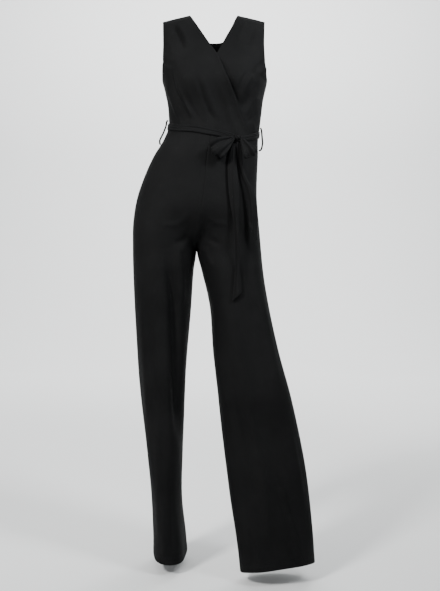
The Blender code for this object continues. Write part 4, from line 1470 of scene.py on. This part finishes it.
def tail(name, seed):
    profile = columns_of(TAILS[name])
    last = len(TAILS[name]) - 2
    rows = np.linspace(0, last, 141)
    down, x, half = profile["down"](rows), profile["x"](rows), profile["half_width"](rows)
    reached = np.min([front_of_trousers(x + at * half, down) for at in (-1, 0, 1)], axis=0)
    y = np.minimum.accumulate(np.minimum(KNOT_Y + 0.003, reached - TAIL_CLEARANCE))
    y = np.convolve(np.pad(y, len(SMOOTHING) // 2, mode="edge"), SMOOTHING, "valid")
    share = (rows / last)[:, None]
    roll = ROLL * np.cos(math.pi * (ACROSS * 0.9 + 0.25 * np.sin(4.0 * share + seed)))
    ridge = ridge_at(ACROSS, 0.35 * np.sin(3.0 * share + seed), RIDGE, 0.16)
    relief = (roll + ridge) * ease(0.0, 0.06, share)
    relief = relief + pleats(share * 0.5, seed) * (1 - ease(0.0, 0.3, share))
    points = ribbon_points(np.stack([x, y, -down], -1), half, (1.0, 0.0, 0.0), relief)
    points[..., 2] -= SLANT[name] * (points[..., 0] - x[:, None]) * ease(0.80, 1.0, share)
    return points


behind = front_of_trousers(np.array([0.06]), np.array([0.7]))
print("trousers behind the long tail, y:", behind.round(3).tolist())

# %% [markdown]
# ## Build the bow
#
# The four ribbons become shells like the panels, a little thicker, because the sash is sewn
# double.

# %% Ribbons
RIBBON_THICKNESS = 0.0013

for seed, name in enumerate(("sash_loop_right", "sash_loop_left", "sash_tail_long", "sash_tail_short")):
    points = bow_loop(name, seed) if name in BOW else tail(name, seed)
    thick = np.full(points.shape[:2], RIBBON_THICKNESS)
    dress(shell(name + "_cloth", points, thick, sash_crepe), name)
    grids[name] = sheet_sizes(points)
    print(name, "flat", [round(v, 3) for v in grids[name]["flat"]])

# %% [markdown]
# ## The thin loops at the side seams
#
# A fine cord is sewn to each side seam above and below the sash and stands away from it. It is a
# round tube along a route of (x, y, down) places, with a slight twist so that it reads as corded
# thread, and it closes at both ends.

# %% The belt loops
CORD = {"radius": 0.0023, "twist": 0.06, "turns_a_row": 1.1}
CORDS = {
    "belt_loop_right": (
        (-0.1225, -0.060, 0.2990),
        (-0.1262, -0.061, 0.3030),
        (-0.1285, -0.062, 0.3150),
        (-0.1350, -0.063, 0.3330),
        (-0.1415, -0.064, 0.3460),
        (-0.1445, -0.065, 0.3550),
        (-0.1445, -0.065, 0.3620),
        (-0.1418, -0.065, 0.3650),
    ),
    "belt_loop_left": (
        (0.1250, -0.063, 0.3200),
        (0.1278, -0.064, 0.3240),
        (0.1290, -0.065, 0.3350),
        (0.1305, -0.065, 0.3500),
        (0.1310, -0.065, 0.3620),
        (0.1280, -0.064, 0.3770),
        (0.1208, -0.064, 0.3820),
    ),
}


def build_cord(node):
    route = [(number, *place) for number, place in enumerate(CORDS[node])]
    profile = columns_of((("row", "x", "y", "down"), *route))
    rows = np.linspace(0, len(route) - 1, 64)
    centres = np.stack([profile["x"](rows), profile["y"](rows), -profile["down"](rows)], -1)
    along = unit(np.gradient(centres, axis=0))
    side = unit(np.cross(along, (0.0, 1.0, 0.0)))
    up = np.cross(side, along)
    turns = np.linspace(0, 2 * math.pi, 16, endpoint=False)[None, :, None]
    strands = 1 + CORD["twist"] * np.cos(3 * (turns + CORD["turns_a_row"] * rows[:, None, None]))
    closing = np.sqrt(np.maximum(0.02, 1 - (np.abs(2 * rows / rows[-1] - 1) ** 40)))[:, None, None]
    ring = (side[:, None] * np.cos(turns) + up[:, None] * np.sin(turns)) * strands * closing
    points = centres[:, None] + ring * CORD["radius"]
    count, wide = points.shape[:2]
    ends = [tuple(range(wide)), tuple(range((count - 1) * wide, count * wide))[::-1]]
    faces = tube_faces(count, wide) + ends
    length = np.linalg.norm(np.diff(centres, axis=0), axis=1).sum()
    print(node, "cord, metres:", round(float(length), 3))
    return smooth_piece(node + "_cord", points.reshape(-1, 3).tolist(), faces, cord_thread)


for node in CORDS:
    dress(build_cord(node), node)

# %% [markdown]
# ## How many sheets there are
#
# Each panel, the band, the two loops and the two tails are sheets, and their count is printed.


print("sheets:", len(PANELS) + len(BOW) + len(TAILS) + 1)

# %% [markdown]
# ## The backdrop
#
# The garment stands in a pale studio. One sheet of seamless paper is the floor, curves up far
# behind it and is the wall, so that no edge shows. It is very slightly uneven in tone.

# %% Backdrop
FLOOR = -1.484
SWEEP = {"front": -9.0, "wall": 7.0, "radius": 2.5, "top": 6.0, "half_width": 10.0}
PAPER, PAPER_SHADE = (0.80, 0.81, 0.81), 0.97


def paper():
    material = bpy.data.materials.new("backdrop")
    material.use_nodes = True
    tree = material.node_tree
    shader = tree.nodes["Principled BSDF"]
    cloudy = texture(tree, "ShaderNodeTexNoise", 1.2).outputs["Fac"]
    shade = [PAPER_SHADE * v for v in PAPER]
    tree.links.new(ramp(tree, cloudy, shade, PAPER), shader.inputs["Base Color"])
    shader.inputs["Roughness"].default_value = 0.85
    shader.inputs["Specular IOR Level"].default_value = 0.2
    return material


def backdrop():
    radius, wall = SWEEP["radius"], SWEEP["wall"]
    bend = [
        (wall - radius + radius * math.sin(a), FLOOR + radius - radius * math.cos(a))
        for a in np.linspace(0, math.pi / 2, 24)
    ]
    profile = [(SWEEP["front"], FLOOR), *bend, (wall, SWEEP["top"])]
    ends = (-SWEEP["half_width"], SWEEP["half_width"])
    corners = [(x, y, z) for x in ends for y, z in profile]
    count = len(profile)
    faces = [(k, k + count, k + count + 1, k + 1) for k in range(count - 1)]
    return smooth_piece("backdrop", corners, faces, paper())


backdrop()
print("floor at", FLOOR, "metres")

# %% [markdown]
# ## The lights
#
# Black cloth shows its folds only where light rakes across them. A small softbox at the upper left
# lights the bodice and hips most and leaves the hems darker, and one at the right picks out the
# wrap. Both have a narrow spread, so that they light the garment and not the room. A third stands
# behind, a long one lights the wall, and a pale sky fills the shadows. Powers are in watts.

# %% Lights
def soft_light(name, place, aim, size, power, spread, colour=(1.0, 1.0, 1.0)):
    data = bpy.data.lights.new(name, "AREA")
    data.shape = "RECTANGLE"
    data.size, data.size_y = size
    data.energy = power
    data.spread = math.radians(spread)
    data.color = colour
    made = bpy.data.objects.new(name, data)
    made.location = place
    made.rotation_euler = (Vector(aim) - Vector(place)).to_track_quat("-Z", "Y").to_euler()
    bpy.context.scene.collection.objects.link(made)


WARM, COOL, SKY = (1.0, 0.99, 0.97), (0.97, 0.99, 1.0), (0.86, 0.88, 0.89, 1)
soft_light("front_softbox", (-1.7, -2.1, 1.0), (-0.10, -0.1, -0.58), (0.55, 0.55), 19, 72, WARM)
soft_light("side_softbox", (1.6, -1.3, 1.1), (0.07, -0.15, -0.08), (0.6, 0.8), 10, 56, COOL)
soft_light("back_softbox", (1.4, 2.4, 1.5), (0.0, 0.0, -0.5), (1.0, 1.0), 38, 180)
soft_light("backdrop_light", (0.0, 3.6, 3.6), (0.0, 7.0, -0.4), (6.0, 1.2), 560, 180)

world = bpy.data.worlds.new("studio")
bpy.context.scene.world = world
world.use_nodes = True
sky = world.node_tree.nodes["Background"]
sky.inputs["Color"].default_value = SKY
sky.inputs["Strength"].default_value = 0.71
print("lights:", len(bpy.data.lights), "and the sky")

# %% [markdown]
# ## The camera
#
# The camera is level, a little below the middle of the garment's height, so the hems are seen
# from above and the shoulders from below.

# %% Camera
camera_data = bpy.data.cameras.new("camera")
camera_data.sensor_width = 36
camera_data.lens = 44.59
camera = bpy.data.objects.new("camera", camera_data)
camera.location = (0.017, -2.03, -0.770)
camera.rotation_euler = (math.radians(90), 0, 0)
bpy.context.scene.collection.objects.link(camera)
bpy.context.scene.camera = camera
print("camera lens, millimetres:", round(camera_data.lens, 2))
